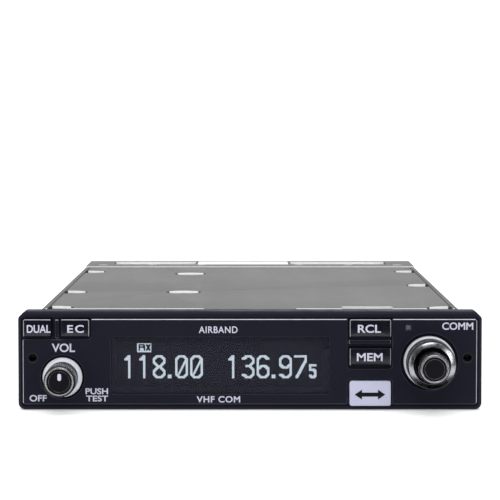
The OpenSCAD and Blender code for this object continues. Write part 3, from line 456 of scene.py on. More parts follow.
MATERIALS = by_name(
    surface("tray_sheet", (0.142, 0.142, 0.141), 0.66, specular=0.15, tint=0.04, blotch=50, grain=0.35,
            depth=0.006, spread=0.05, stretch=(1, 0.12, 1), dirt=0.12),
    # Painted shade: a darker copy of the tray's metal for its rounded edges and the strips beside its folds.
    surface("tray_edge_painted_shade", (0.105, 0.105, 0.11), 0.6, specular=0.2, tint=0.1, blotch=6, grain=0.3, depth=0.006),
    # Darker painted shade: a near-black copy of the tray's metal for hole rims, sideways hole tips, fold
    # grooves and the bracket's sideways cut edges.
    surface("tray_rim_painted_shade", (0.045, 0.045, 0.06), 0.6, specular=0.1, tint=0.1, blotch=4, grain=0.3, depth=0.006),
    # Painted highlight: a light copy of the tray's metal for the rounded edges along the front strip and the
    # slot, and the bracket's front cut edge.
    surface("tray_lip_painted_highlight", (0.70, 0.70, 0.71), 0.45, specular=0.2, tint=0.05, blotch=2, grain=0.3, depth=0.006),
    # Painted light: the cut hole walls are bare metal, painted near white so that the walls, which lie in
    # shade, read as lit.
    surface("tray_cut_painted_light", (0.97, 0.97, 0.97), 0.4, specular=0.3, tint=0.04, blotch=1.6, grain=0.3, depth=0.01),
    surface("rivet_alloy", (0.36, 0.36, 0.36), 0.36, metal=0.8, tint=0.1, blotch=2, grain=0.3),
    surface("spring_brass", (0.62, 0.42, 0.16), 0.3, metal=1.0, blotch=6, stretch=(1, 0.1, 1), soft=0.1),
    surface("cast_alloy", (0.42, 0.43, 0.44), 0.5, metal=0.7, blotch=10, grain=0.7, depth=0.03, soft=0.3),
    surface("cover_plate", (0.30, 0.31, 0.33), 0.40, metal=0.4, tint=0.03, blotch=40, grain=0.4, depth=0.006,
            stretch=(1, 0.1, 1), dirt=0.05),
    surface("heat_sink_black", (0.022, 0.022, 0.024), 0.42, metal=0.4, tint=0.15, blotch=12, grain=0.4,
            depth=0.012),
    surface("screw_steel", (0.55, 0.55, 0.56), 0.3, metal=1.0, blotch=2, grain=0.4, soft=0.08),
    surface("lock_steel", (0.035, 0.035, 0.04), 0.5, metal=1.0, blotch=2, grain=0.4, soft=0.08),
    surface("bezel_black", (0.0092, 0.0092, 0.019), 0.5, specular=0.07, tint=0.05, blotch=26, grain=0.35,
            depth=0.006),
    surface("panel_black", (0.0074, 0.0074, 0.016), 0.45, specular=0.1, tint=0.05, blotch=30, grain=0.3,
            depth=0.005),
    # Faint painted highlight: a lighter copy of the panel black for the other chamfers and the ribs' slanted
    # faces.
    surface("panel_faint_painted_highlight", (0.03, 0.03, 0.043), 0.4, specular=0.3, tint=0.1, blotch=5, grain=0.3,
            depth=0.004),
    # Painted highlight: a light, metallic copy of the panel black for chamfers on the sides where light
    # falls.
    surface("panel_edge", (0.31, 0.31, 0.34), 0.34, metal=0.75, tint=0.1, blotch=5, grain=0.3, depth=0.004),
    glow("display_glass", (0.013, 0.013, 0.0205), 1.0),
    glow("display_light", (0.66, 0.77, 0.86), 1.75),
    lens("window_tint", (0.014, 0.014, 0.0233), 0.3),
    surface("gasket_rubber", (0.012, 0.012, 0.012), 0.8, specular=0.3, blotch=5, depth=0.03),
    surface("key_black", (0.0042, 0.0042, 0.01), 0.22, specular=0.4, tint=0.05, blotch=8, depth=0.001,
            spread=0.03),
    # Painted highlight: a light copy of the key black for key edges on the sides where light falls.
    surface("key_edge_painted_highlight", (0.22, 0.22, 0.25), 0.25, specular=0.8, tint=0.08, blotch=4, grain=0.4, depth=0.002,
            spread=0.03),
    surface("key_shadow", (0.004, 0.004, 0.007), 0.7, specular=0.05, tint=0.1, blotch=4, grain=0.4,
            depth=0.002),
    surface("key_white", (0.40, 0.41, 0.53), 0.38, tint=0.02, blotch=8, grain=0.4, depth=0.003),
    surface("legend_white", (0.44, 0.44, 0.54), 0.5, specular=0.2, tint=0.03, blotch=3, grain=0.2,
            depth=0.003),
    surface("legend_black", (0.006, 0.006, 0.009), 0.5, specular=0.1, tint=0.1, blotch=3, grain=0.2,
            depth=0.003),
    surface("keypad_grey", (0.24, 0.24, 0.26), 0.75, specular=0.3, blotch=4, depth=0.02, soft=0.2),
    surface("sensor_grey", (0.075, 0.075, 0.095), 0.3, blotch=1, grain=0.2, depth=0.002, soft=0.1),
    circuit_board("board_green"),
    surface("switch_black", (0.03, 0.03, 0.032), 0.5, blotch=3, soft=0.1),
    surface("control_metal", (0.42, 0.43, 0.44), 0.36, metal=0.9, blotch=5, soft=0.15),
    surface("knob_black", (0.003, 0.003, 0.005), 0.2, specular=0.2, tint=0.1, blotch=4, grain=0.3,
            depth=0.003),
    surface("knob_face", (0.004, 0.004, 0.0065), 0.4, specular=0.08, tint=0.05, blotch=4, grain=0.3,
            depth=0.002),
    surface("knob_gloss", (0.006, 0.006, 0.009), 0.15, specular=0.9, tint=0.1, blotch=3, grain=0.3,
            depth=0.001, spread=0.02),
    surface("rim_gloss", (0.34, 0.34, 0.36), 0.18, metal=0.9, tint=0.1, blotch=3, grain=0.3, depth=0.001,
            spread=0.02),
    brushed_ring("knob_ring", (0.36, 0.36, 0.39), 0.2),
    surface("skirt_bright", (0.72, 0.73, 0.81), 0.3, metal=0.2, tint=0.03, blotch=6, grain=0.3, depth=0.003,
            spread=0.03),
    surface("shaft_steel", (0.5, 0.5, 0.5), 0.3, metal=1.0, blotch=3, stretch=(1, 0.1, 1)),
    surface("plunger_white", (0.7, 0.7, 0.66), 0.45, blotch=3),
    surface("can_tin", (0.62, 0.63, 0.64), 0.3, metal=1.0, blotch=8, soft=0.15),
    surface("capacitor_blue", (0.02, 0.03, 0.10), 0.35, coat=0.3, blotch=4, soft=0.3),
    surface("amp_black", (0.015, 0.015, 0.016), 0.55, blotch=6, depth=0.03, soft=0.15),
    wound_tape("transformer_tape", (0.45, 0.33, 0.12)),
    ribbon("cable_grey", (0.55, 0.55, 0.50)),
    surface("connector_cream", (0.70, 0.67, 0.55), 0.45, blotch=4, soft=0.15),
    surface("nickel", (0.62, 0.60, 0.56), 0.24, metal=1.0, tint=0.06, blotch=4, grain=0.3, depth=0.004),
)


# -------- camera, floor and light

FACE_MIDDLE_Z = 0.017


def add_camera():
    distance, height, tilt = 783.0, 102.4, 3.450
    data = bpy.data.cameras.new("camera")
    data.lens = 164.3
    data.sensor_width = 36.0
    data.clip_start = 0.05
    data.clip_end = 60.0
    camera = bpy.data.objects.new("camera", data)
    camera.location = spot(0.0, -distance, height)
    camera.rotation_euler = (math.radians(90 - tilt), 0, 0)
    bpy.context.scene.collection.objects.link(camera)
    bpy.context.scene.camera = camera


def stage_plane(name, corners, material):
    mesh = bpy.data.meshes.new(name)
    mesh.from_pydata(corners, [], [(0, 1, 2, 3)])
    mesh.materials.append(material)
    obj = bpy.data.objects.new(name, mesh)
    bpy.context.scene.collection.objects.link(obj)
    return obj


def level(x, y, z):
    """Corners of a level rectangle, in metres."""
    return [(x[0], y[0], z), (x[1], y[0], z), (x[1], y[1], z), (x[0], y[1], z)]


def upright(start, end, high):
    """Corners of a rectangle that stands on the floor from start to end, in metres."""
    return [(*start, 0), (*end, 0), (*end, high), (*start, high)]


def add_floor():
    side = (-20.0, 20.0)
    gap = 0.0002
    pale = surface("floor_pale", (0.90, 0.90, 0.90), 0.9, specular=0.1, tint=0.01, blotch=300, grain=40,
                   depth=0.0)
    shader = pale.node_tree.nodes["Principled BSDF"]
    shader.inputs["Emission Color"].default_value = (1, 1, 1, 1)
    shader.inputs["Emission Strength"].default_value = 0.25
    stage_plane("floor", level(side, side, cad_box[0][2] - gap), pale)


def add_flag(name, corners):
    """Black card that only reflections see, as photographers flag a glossy front."""
    black = surface("flag_black", (0.004, 0.004, 0.004), 1.0, specular=0.0)
    card = stage_plane(name, corners, black)
    for sense in ("camera", "diffuse", "shadow", "transmission"):
        setattr(card, "visible_" + sense, False)


def add_light(name, place, target, size, power):
    data = bpy.data.lights.new(name, "AREA")
    data.shape = "RECTANGLE"
    data.size, data.size_y = size
    data.energy = power
    light = bpy.data.objects.new(name, data)
    light.location = place
    light.rotation_euler = (Vector(target) - Vector(place)).to_track_quat("-Z", "Y").to_euler()
    light.visible_camera = False
    bpy.context.scene.collection.objects.link(light)


def add_world():
    world = bpy.data.worlds.new("studio")
    world.use_nodes = True
    background = world.node_tree.nodes["Background"]
    background.inputs["Color"].default_value = (1, 1, 1, 1)
    background.inputs["Strength"].default_value = 1.03
    bpy.context.scene.world = world


def toward(azimuth, elevation):
    """Point a metre in front of the face, turned to the right by azimuth and up by elevation."""
    a, e = math.radians(azimuth), math.radians(elevation)
    return (math.cos(e) * math.sin(a), FACE_Y - math.cos(e) * math.cos(a), math.sin(e) + FACE_MIDDLE_Z)


def add_studio():
    add_world()
    add_floor()
    face = (0, FACE_Y, FACE_MIDDLE_Z)
    add_light("overhead", (0.0, 0.1, 1.3), (0, 0, 0), (1.4, 1.2), 10.0)
    add_light("top_box", toward(0, 33), face, (0.30, 0.16), 1.2)
    add_light("left_box", toward(-33, 4), face, (0.14, 0.40), 1.0)
    add_light("right_box", toward(33, 4), face, (0.14, 0.40), 1.0)
    wide, high, hair = 1.2, 1.1, 0.001
    near, far = FACE_Y - 0.115, FACE_Y - 1.6
    side = near - 0.15
    add_flag("floor_flag_near", level((-wide, wide), (FACE_Y - 0.012, FACE_Y - 0.040), hair))
    add_flag("floor_flag", level((-wide, wide), (near, far), hair))
    add_flag("front_flag", upright((-wide, far), (wide, far), high))
    add_flag("left_flag", upright((-wide, side), (-wide, far), high))
    add_flag("right_flag", upright((wide, side), (wide, far), high))
    bpy.context.scene.view_settings.view_transform = "Standard"


# -------- front bezel and face panel

def clockwise(outline):
    return list(reversed(outline))


def key_rect(node, by=0.0):
    """Outline spans of a key's cap, grown by a distance."""
    x = span(node, 0, KEY_FLANGE)
    z = span(node, 2)
    low = z[0] + min(KEY_FLANGE, max(z[0] - 1.3, 0.1))
    return grown(x, by), grown([low, z[1] - KEY_FLANGE], by)


KEYS = ["key_dual", "key_ec", "key_rcl", "key_mem", "key_swap"]


def walls(bm, rings):
    for near, far in zip(rings, rings[1:]):
        wall(bm, near, far)


def front_holes(bm):
    """Hole rings through the bezel's front wall, from its floor to where each one ends."""
    gap = 0.1
    key_gap = 0.2
    outlines = [rounded_rect(grown(WINDOW_X, gap), grown(WINDOW_Z, gap), 1.0)]
    outlines += [rounded_rect(*key_rect(key, key_gap), 0.5) for key in KEYS]
    outlines.append(rounded_rect(grown(SENSOR_X, gap), grown(SENSOR_Z, gap), 0.1))
    openings = []
    for outline in outlines:
        rings = [ring(bm, outline, y) for y in (FLOOR_Y, WALL_BACK_Y)]
        walls(bm, rings)
        openings.append(rings)
    for axis, recess_r, bushing_r in ((VOL_AXIS, VOL_RECESS_R, 3.6), (COMM_AXIS, COMM_RECESS_R, 4.6)):
        recess, bushing = circle(axis, recess_r), circle(axis, bushing_r)
        rings = [ring(bm, recess, FLOOR_Y), ring(bm, recess, KNOB_FLOOR_Y), ring(bm, bushing, KNOB_FLOOR_Y),
                 ring(bm, bushing, WALL_BACK_Y)]
        walls(bm, rings)
        openings.append((rings[0], rings[-1]))
    return openings


def bezel_outline():
    """Front outline: rounded at the bottom, cut and rounded at the top corners."""
    corner, cut, top_corner = 2.3, 2.2, 1.6
    (left, right), (low, high) = BEZEL_X, BEZEL_Z
    return filleted([(left, low, corner), (right, low, corner), (right, high - cut, top_corner),
                     (right - cut, high, top_corner), (left + cut, high, top_corner),
                     (left, high - cut, top_corner)])


def bezel_pocket():
    """Outline of the pocket in the bezel's back, with bays for the swap key and the left keys."""
    side, low, high = 71, 2, 32.4
    swap_left, swap_right, swap_low = 33.1, 49.7, 1.2
    bay_left, bay_low = -78.9, 24.4
    return filleted([(-side, low, .5), (swap_left, low, .3), (swap_left, swap_low, .1),
                     (swap_right, swap_low, .1), (swap_right, low, .3), (side, low, .5), (side, high, .5),
                     (bay_left, high, .5), (bay_left, bay_low, .5), (-side, bay_low, .5)])


def add_bosses(bm):
    """Bosses behind the bezel's front wall, with a blind screw hole in the back of each."""
    radius, hole_r = 1.9, 1.05
    front, hole_end, back = -2.5, -4.0, -9.5
    profile = [(hole_r, hole_end), (hole_r, back), (radius, back), (radius, front), (0, front), (0, hole_end)]
    for x in (-52.3, 51.2):
        for z in (4.8, 28.8):
            add_turned(bm, (x, z), profile, 32)


def front_bezel():
    chamfer, blend, rear_inset, lip = 0.9, 0.12, 0.05, 0.15
    groove = 0.4
    lock_pocket_y, lock_half = 2.2, 3.2
    back_y = BEZEL_Y[1]
    outer = bezel_outline()
    bm = bmesh.new()
    recess_z = [PANEL_Z[0] - groove - 0.25, PANEL_Z[1] + groove]
    recess = rounded_rect(grown(PANEL_X, groove), recess_z, 1.0)
    floor = ring(bm, recess, FLOOR_Y)
    mouth = [floor, ring(bm, recess, lip), ring(bm, moved_in(recess, -lip), 0.0)]
    chain = [ring(bm, moved_in(outer, chamfer + blend), 0.0),
             ring(bm, moved_in(outer, chamfer - blend), blend / 2),
             ring(bm, moved_in(outer, blend / 2), chamfer - blend), ring(bm, outer, chamfer + blend),
             ring(bm, outer, back_y - rear_inset), ring(bm, moved_in(outer, rear_inset), back_y)]
    walls(bm, mouth)
    walls(bm, chain)
    cap(bm, [chain[0], mouth[-1]])
    openings = front_holes(bm)
    locks = []
    for side in (-1, 1):
        hole = circle((side * LOCK_X, LOCK_Z), LOCK_ACCESS_R)
        locks.append((ring(bm, hole, FLOOR_Y), ring(bm, hole, lock_pocket_y)))
        wall(bm, *locks[-1])
    cap(bm, [floor] + [front for front, back in openings + locks])
    pocket = [ring(bm, bezel_pocket(), y) for y in (WALL_BACK_Y, back_y)]
    walls(bm, pocket)
    cap(bm, [pocket[0]] + [back for front, back in openings])
    back_loops = [chain[-1], pocket[1]]
    for side, (front, back) in zip((-1, 1), locks):
        square = rounded_rect(grown([side * LOCK_X] * 2, lock_half), grown([LOCK_Z] * 2, lock_half), 0.3)
        near, far = ring(bm, square, lock_pocket_y), ring(bm, square, back_y)
        wall(bm, near, far)
        cap(bm, [near, back])
        back_loops.append(far)
    cap(bm, back_loops)
    add_bosses(bm)
    make("bezel", bm, ["bezel_black"], node="front_bezel", sharp=14)


# Black of the panel, then a faint painted highlight and a painted highlight for its chamfered edges.
PANEL_LOOKS = ("panel_black", "panel_faint_painted_highlight", "panel_edge")


def face_panel():
    chamfer, hole_edge, window_edge = 0.26, 0.2, 0.08
    left, right = PANEL_X
    low, high = PANEL_Z
    keys_left, keys_right, swap_top, mem_low = 33.6, 49.0, 10.6, 14.2
    ec_right, ec_low = -54.8, 24.4
    corners = [
        (left, low, 0.8), (keys_left, low, 0.5), (keys_left, swap_top, 1.2), (keys_right, swap_top, 1.2),
        (keys_right, low, 0.5), (right, low, 0.8), (right, high, 0.8), (keys_right, high, 0.5),
        (keys_right, mem_low, 1.2), (keys_left, mem_low, 1.2), (keys_left, high, 0.5),
        (ec_right, high, 0.5), (ec_right, ec_low, 1.2), (left, ec_low, 0.5),
    ]
    skins = [eased(filleted(corners), PANEL_Y, chamfer)]
    holes = [circle(VOL_AXIS, VOL_RECESS_R), circle(COMM_AXIS, COMM_RECESS_R),
             rounded_rect(grown(SENSOR_X, 0.1), grown(SENSOR_Z, 0.1), 0.1)]
    holes += [circle((side * LOCK_X, LOCK_Z), LOCK_ACCESS_R, 36) for side in (-1, 1)]
    window = rounded_rect(grown(WINDOW_X, 0.05), grown(WINDOW_Z, 0.05), 1.0)
    skins += [eased(clockwise(hole), PANEL_Y, hole_edge) for hole in holes]
    skins.append(eased(clockwise(window), PANEL_Y, window_edge))
    bm = bmesh.new()
    add_solid(bm, skins, edge_bands=1)
    # The outer chamfer on the top, left and right carries a painted highlight where light falls; its bottom
    # and the hole chamfers keep a faint painted highlight.
    for face in bm.faces:
        face.normal_update()
        x, _, z = face.calc_center_median() / MM
        highlight_edge = min(x - left, right - x, high - z) < chamfer and z > low + chamfer
        if face.material_index == 1 and highlight_edge:
            face.material_index = 2
    make("face_plate", bm, PANEL_LOOKS, node="face_panel", sharp=14)
    rib("key_rib_left", [-67.3, -65.8], [24.5, 31.3])
    rib("key_rib_right", [33.9, 48.7], [22.6, 24.3])


def rib(name, x, z):
    """Rounded bar between two keys, with a painted highlight on the slanted faces at its ends and a
    faint painted highlight on its other slanted faces.
    """
    front, rounding, highlight_end = -0.3, 0.6, 0.45
    long_x = x[1] - x[0] > z[1] - z[0]
    bm = bmesh.new()
    add_solid(bm, [eased(rounded_rect(x, z, 0.6), [front, FLOOR_Y], rounding, steps=4)])
    for face in bm.faces:
        face.normal_update()
        centre = face.calc_center_median() / MM
        ends = (centre.x - x[0], x[1] - centre.x) if long_x else (centre.z - z[0], z[1] - centre.z)
        slanted = 0.3 < abs(face.normal.y) < 0.98
        # painted highlight at the ends, faint painted highlight on the other slanted faces
        if slanted:
            face.material_index = 2 if min(ends) < highlight_end else 1
    make(name, bm, PANEL_LOOKS, body="radio", slot="panel_black", sharp=50)


def display():
    front_y, back_y = span("display_window", 1)
    window = rounded_rect(WINDOW_X, WINDOW_Z, 1.0)
    flange = rounded_rect(grown(WINDOW_X, WINDOW_FLANGE), grown(WINDOW_Z, WINDOW_FLANGE), 1.0)
    rings = eased(window, [front_y, SHOULDER_Y], 0.15, steps=2) + [(flange, SHOULDER_Y), (flange, back_y)]
    solid_piece("display_lens", rings, "window_tint", node="display_window")
    readout()


# Digits as strokes of a square pen, two cells wide, in a grid of 9 by 16 cells
GLYPHS = {
    "0": [[(2, 14), (5, 14), (7, 12), (7, 2), (5, 0), (2, 0), (0, 2), (0, 12), (2, 14)]],
    "1": [[(3.5, 0), (3.5, 14), (1.5, 12), (1, 12)]],
    "3": [[(0, 12.5), (1, 12.5), (2.5, 14), (5, 14), (7, 12), (7, 10), (4.5, 7.5), (2.5, 7.5)],
          [(4.5, 7.5), (7, 5), (7, 2), (5, 0), (2.5, 0), (1, 1.5), (0, 1.5)]],
    "6": [[(7, 12.5), (6, 12.5), (5, 14), (2, 14), (0, 12), (0, 2), (2, 0), (5, 0), (7, 2), (7, 5.5),
           (5, 7.5), (2.5, 7.5), (1, 6)]],
    "7": [[(0, 14), (7, 14), (7, 11), (1, 0)]],
    "8": [[(3, 7), (0, 10), (0, 12), (2, 14), (5, 14), (7, 12), (7, 10), (4, 7), (7, 4), (7, 2), (5, 0),
           (2, 0), (0, 2), (0, 4), (3, 7), (4, 7)]],
    "9": [[(0, 1.5), (1, 1.5), (2.5, 0), (5, 0), (7, 2), (7, 12), (5, 14), (2, 14), (0, 12), (0, 8.5),
           (2, 6.5), (4.5, 6.5), (6, 8)]],
    "5": [[(3.6, 8), (0, 8), (0, 4.8), (2.6, 4.8), (3.6, 3.8), (3.6, 1.5), (2.4, 0), (1, 0), (0, 1.2)]],
    "point": [[(0, 0), (1, 0), (1, 1), (0, 1), (0, 0)]],
}
SLASH = [(1.5, 2.5), (6.5, 12.5)]
RX_STROKES = [[(2, 2), (2, 9), (8, 9), (9, 8), (9, 7), (8, 6), (3, 6)], [(8, 6), (9, 4), (9, 2)],
              [(12, 9), (16, 2)], [(16, 9), (12, 2)]]


def pen_dots(strokes, pen, per_cell):
    """Grid dots covered by a square pen of pen dots, drawn along strokes given in cells."""
    lit = set()
    for stroke in strokes:
        for (x0, z0), (x1, z1) in zip(stroke, stroke[1:]):
            steps = max(1, round(4 * per_cell * max(abs(x1 - x0), abs(z1 - z0))))
            for k in range(steps + 1):
                i = round((x0 + (x1 - x0) * k / steps) * per_cell)
                j = round((z0 + (z1 - z0) * k / steps) * per_cell)
                lit.update((i + a, j + b) for a in range(pen) for b in range(pen))
    return lit


def readout():
    """Lit dots of the display: two frequencies and the receive sign, just in front of its glass."""
    pitch = 0.259
    dot = 0.236
    thickness = 0.04
    baseline = 10.42
    cell = 2
    glass_y = span("display_module", 1)[0]
    lit = set()
    for start, text in ((-44.15, "118.00"), (-7.98, "136.97")):
        column = 0
        first = round(start / pitch)
        for sign in text:
            if sign == ".":
                lit.update((first + column + i, j) for i, j in pen_dots(GLYPHS["point"], 3, cell))
                column += 5 * cell
                continue
            lit.update((first + column + i, j) for i, j in pen_dots(GLYPHS[sign], 3, cell))
            if sign == "0":
                lit.update((first + column + i + 1, j) for i, j in pen_dots([SLASH], 2, cell))
            column += 10 * cell
    small = round(20.55 / pitch)
    lit.update((small + i, j) for i, j in pen_dots(GLYPHS["5"], 3, cell))
    sign_left, sign_low = round(-39.0 / pitch), 35
    letters = pen_dots(RX_STROKES, 2, 1)
    lit.update((sign_left + i, sign_low + j) for i in range(19) for j in range(12) if (i, j) not in letters)
    bm = bmesh.new()
    for i, j in sorted(lit):
        x, z = i * pitch, baseline + j * pitch
        front = [(x, z), (x + dot, z), (x + dot, z + dot), (x, z + dot)]
        near, far = ring(bm, front, glass_y - thickness), ring(bm, front, glass_y)
        wall(bm, near, far)
        bm.faces.new(near)
        bm.faces.new(far)
    make("display_readout", bm, ["display_light"], body="radio", slot="display_light")


def sensor():
    rings = eased(rounded_rect(SENSOR_X, SENSOR_Z, 0.2), span("sensor_window", 1), 0.12, steps=2)
    solid_piece("light_sensor_window", rings, "sensor_grey", node="sensor_window")


# -------- keys

def key_cap(node, look, highlight_look, lit, corner=0.6):
    """Key with eased edges, a gently crowned top and its retaining flange. Its edges carry a painted
    highlight on the sides named in lit (L, R, T), where light falls, and painted shade on the others."""
    crown, edge, edge_steps, rows = 0.28, 0.27, 3, 7
    x, z = key_rect(node)
    y = span(node, 1)
    middle_z, half_z = (z[0] + z[1]) / 2, (z[1] - z[0]) / 2
    outline = rounded_rect(x, z, corner)
    flange = rounded_rect(span(node, 0), span(node, 2), 0.3)
    bm = bmesh.new()

    def crowned(points, set_back):
        return [bm.verts.new(spot(px, y[0] + set_back + crown * ((pz - middle_z) / half_z) ** 2, pz))
                for px, pz in points]

    chain = [ring(bm, flange, y[1]), ring(bm, flange, SHOULDER_Y), ring(bm, outline, SHOULDER_Y)]
    first = len(chain)
    for k in range(edge_steps + 1):
        angle = math.pi / 2 * k / edge_steps
        chain.append(crowned(moved_in(outline, edge * (1 - math.cos(angle))), edge * (1 - math.sin(angle))))
    centre_x = (x[0] + x[1]) / 2
    top = moved_in(outline, edge)
    for k in range(1, rows):
        share = 1 - k / rows
        chain.append(crowned([(centre_x + (px - centre_x) * share, middle_z + (pz - middle_z) * share)
                              for px, pz in top], 0.0))
    for i in range(len(chain) - 1):
        wall(bm, chain[i], chain[i + 1], 1 if first <= i < first + edge_steps else 0)
    cap(bm, [chain[0]])
    cap(bm, [chain[-1]])
    # edges on sides not named in lit get painted shade instead of the painted highlight
    for face in bm.faces:
        centre = face.calc_center_median() / MM
        gaps = {"L": centre.x - x[0], "R": x[1] - centre.x, "B": centre.z - z[0], "T": z[1] - centre.z}
        if face.material_index == 1 and min(gaps, key=gaps.get) not in lit:
            face.material_index = 2
    make(node + "_cap", bm, (look, highlight_look, "key_shadow"), node=node, sharp=50)


def legend(name, text, x, z, body, y, weight=0.02, spacing=1.0):
    """Lettering that fills the spans x and z, standing a hair proud of the surface at y."""
    thickness = 0.05
    curve = bpy.data.curves.new(name, "FONT")
    curve.body = text
    curve.offset = weight
    curve.extrude = 0.02
    curve.space_character = spacing
    draft = bpy.data.objects.new(name + "_draft", curve)
    bpy.context.scene.collection.objects.link(draft)
    bpy.context.view_layer.update()
    shaped = draft.evaluated_get(bpy.context.evaluated_depsgraph_get())
    source = bpy.data.meshes.new_from_object(shaped)
    bpy.data.objects.remove(draft)
    bpy.data.curves.remove(curve)
    bm = bmesh.new()
    bm.from_mesh(source)
    bpy.data.meshes.remove(source)
    lows = [min(v.co[k] for v in bm.verts) for k in range(3)]
    sizes = [max(v.co[k] for v in bm.verts) - lows[k] for k in range(3)]
    for v in bm.verts:
        across, up, out = ((v.co[k] - lows[k]) / sizes[k] for k in range(3))
        v.co = spot(x[0] + across * (x[1] - x[0]), y - thickness * out, z[0] + up * (z[1] - z[0]))
    make(name, bm, ["legend_white"], body=body, slot="legend_white")


def keys():
    # Sides of each key whose edges carry the painted highlight; the others get painted shade.
    for key, lit in (("key_dual", "LT"), ("key_ec", "TR"), ("key_rcl", "LTR"), ("key_mem", "LR")):
        key_cap(key, "key_black", "key_edge_painted_highlight", lit)
    key_cap("key_swap", "key_white", "key_white", "LTRB", corner=0.8)
    y = KEY_FRONT_Y + 0.02
    legend("legend_dual", "DUAL", [-76.7, -68.55], [26.75, 29.5], "key_dual", y)
    legend("legend_ec", "EC", [-62.8, -57.1], [26.8, 29.5], "key_ec", y, spacing=1.25)
    legend("legend_rcl", "RCL", [37.05, 45.0], [26.8, 29.6], "key_rcl", y)
    legend("legend_mem", "MEM", [36.75, 45.6], [17.0, 19.8], "key_mem", y)
    swap_arrow()


def swap_arrow():
    """Two-headed arrow let into the swap key."""
    centre_x, centre_z = middle("key_swap", 0) - 0.1, 5.45
    half, head, head_half, shaft_half, thickness = 5.25, 2.5, 1.7, 0.7, 0.12
    right = [(half - head, -shaft_half), (half - head, -head_half), (half, 0), (half - head, head_half),
             (half - head, shaft_half)]
    arrow = right + [(-x, -z) for x, z in right]
    outline = [(centre_x + x, centre_z + z) for x, z in arrow]
    rings = [(outline, KEY_FRONT_Y), (outline, KEY_FRONT_Y + thickness)]
    solid_piece("swap_arrow", rings, "legend_black", body="key_swap", slot="legend_black")


def panel_legends():
    y = PANEL_Y[0]
    legend("legend_vol", "VOL", [-68.25, -60.3], [20.0, 22.95], "radio", y)
    legend("legend_off", "OFF", [-76.0, -70.1], [2.9, 5.15], "radio", y)
    legend("legend_push", "PUSH", [-56.7, -48.95], [5.4, 7.5], "radio", y)
    legend("legend_test", "TEST", [-56.5, -48.95], [2.9, 4.95], "radio", y)
    legend("legend_comm", "COMM", [66.15, 76.85], [27.7, 30.25], "radio", y)
    legend("legend_band", "AIRBAND", [-17.6, -4.3], [26.6, 28.9], "radio", y, weight=0.01, spacing=1.1)
    legend("legend_service", "VHF COM", [-18.4, -3.4], [2.55, 4.75], "radio", y, spacing=1.1)


# -------- knobs

def vol_knob():
    skirt = filleted([(6.1, -0.2, 0), (6.8, -0.2, .1), (6.8, 1.3, .2), (5.95, 2.9, .15), (5.5, 2.9, 0),
                      (5.5, 2.2, 0), (6.1, 2.2, 0)], 4)
    turned_piece("vol_skirt_ring", VOL_AXIS, skirt, "skirt_bright", node="vol_skirt")
    front = VOL_REACH
    barrel = filleted([(0, 2.2, 0), (5.5, 2.2, .1), (5.5, front - 0.75, .15), (4.95, front - 0.25, .2),
                       (4.5, front - 0.3, .1), (4.5, front - 0.9, .05), (0, front - 0.9, 0)], 4)
    turned_piece("vol_knob_barrel", VOL_AXIS, barrel, "knob_black", knurl=(52, 0.3, 5.5), node="vol_knob")
    rim = filleted([(5.0, front - 0.6, 0), (4.9, front - 0.05, .25), (4.35, front - 0.05, .2),
                    (4.2, front - 0.5, 0)], 5)
    turned_piece("vol_knob_rim", VOL_AXIS, rim, "rim_gloss", body="vol_knob", slot="knob_black")
    add_disc("vol_knob_face", VOL_AXIS, 4.2, front, "vol_knob")
    x, z = VOL_AXIS
    pointer = rounded_rect([x - 0.6, x + 0.66], [z + 0.35, z + 2.8], 0.62)
    rings = eased(pointer, [-(front - 0.27), -(front - 0.6)], 0.08, steps=2)
    solid_piece("vol_pointer", rings, "legend_white", body="vol_knob", slot="legend_white")


def add_disc(name, axis, radius, reach, body):
    """Disc in a knob's hollow end, with a glossy raised bead near its rim."""
    bead, width, bead_inset = 0.22, 0.34, 0.45
    back, front = reach - 0.9, reach - 0.35
    disc = [(0, back), (radius, back), (radius, front - 0.1), (radius - 0.1, front), (0, front)]
    turned_piece(name, axis, disc, "knob_face", body=body, slot="knob_black")
    outer = radius - bead_inset
    ridge = filleted([(outer, front - 0.1, 0), (outer, front + bead, .16), (outer - width, front + bead, .16),
                      (outer - width, front - 0.1, 0)], 5)
    turned_piece(name + "_bead", axis, ridge, "knob_gloss", body=body, slot="knob_black")


def comm_outer_knob():
    skirt = filleted([(7.3, -0.2, 0), (8.9, -0.2, .1), (8.9, 1.6, .2), (8.55, 3.2, .12), (8.32, 3.2, 0),
                      (8.32, 2.2, 0), (7.3, 2.2, 0)], 4)
    turned_piece("comm_skirt_ring", COMM_AXIS, skirt, "skirt_bright", node="comm_skirt")
    front = OUTER_REACH
    barrel = filleted([(3.01, 2.2, 0), (8.3, 2.2, .1), (8.3, front - 0.75, .15), (8.0, front - 0.55, .1),
                       (6.3, front - 0.35, 0), (6.15, front - 0.4, 0), (6.15, front - 2.6, 0),
                       (3.01, front - 2.6, 0)], 4)
    turned_piece("comm_outer_barrel", COMM_AXIS, barrel, "knob_black", knurl=(72, 0.32, 8.3),
                 node="comm_outer_knob")
    face = filleted([(7.7, front - 0.7, 0), (8.02, front - 0.62, .05), (7.95, front - 0.45, .08),
                     (6.35, front, .12), (6.1, front - 0.2, .08), (6.1, front - 0.9, 0)], 5)
    turned_piece("comm_outer_face", COMM_AXIS, face, "knob_ring", segments=128, body="comm_outer",
                 slot="knob_black")


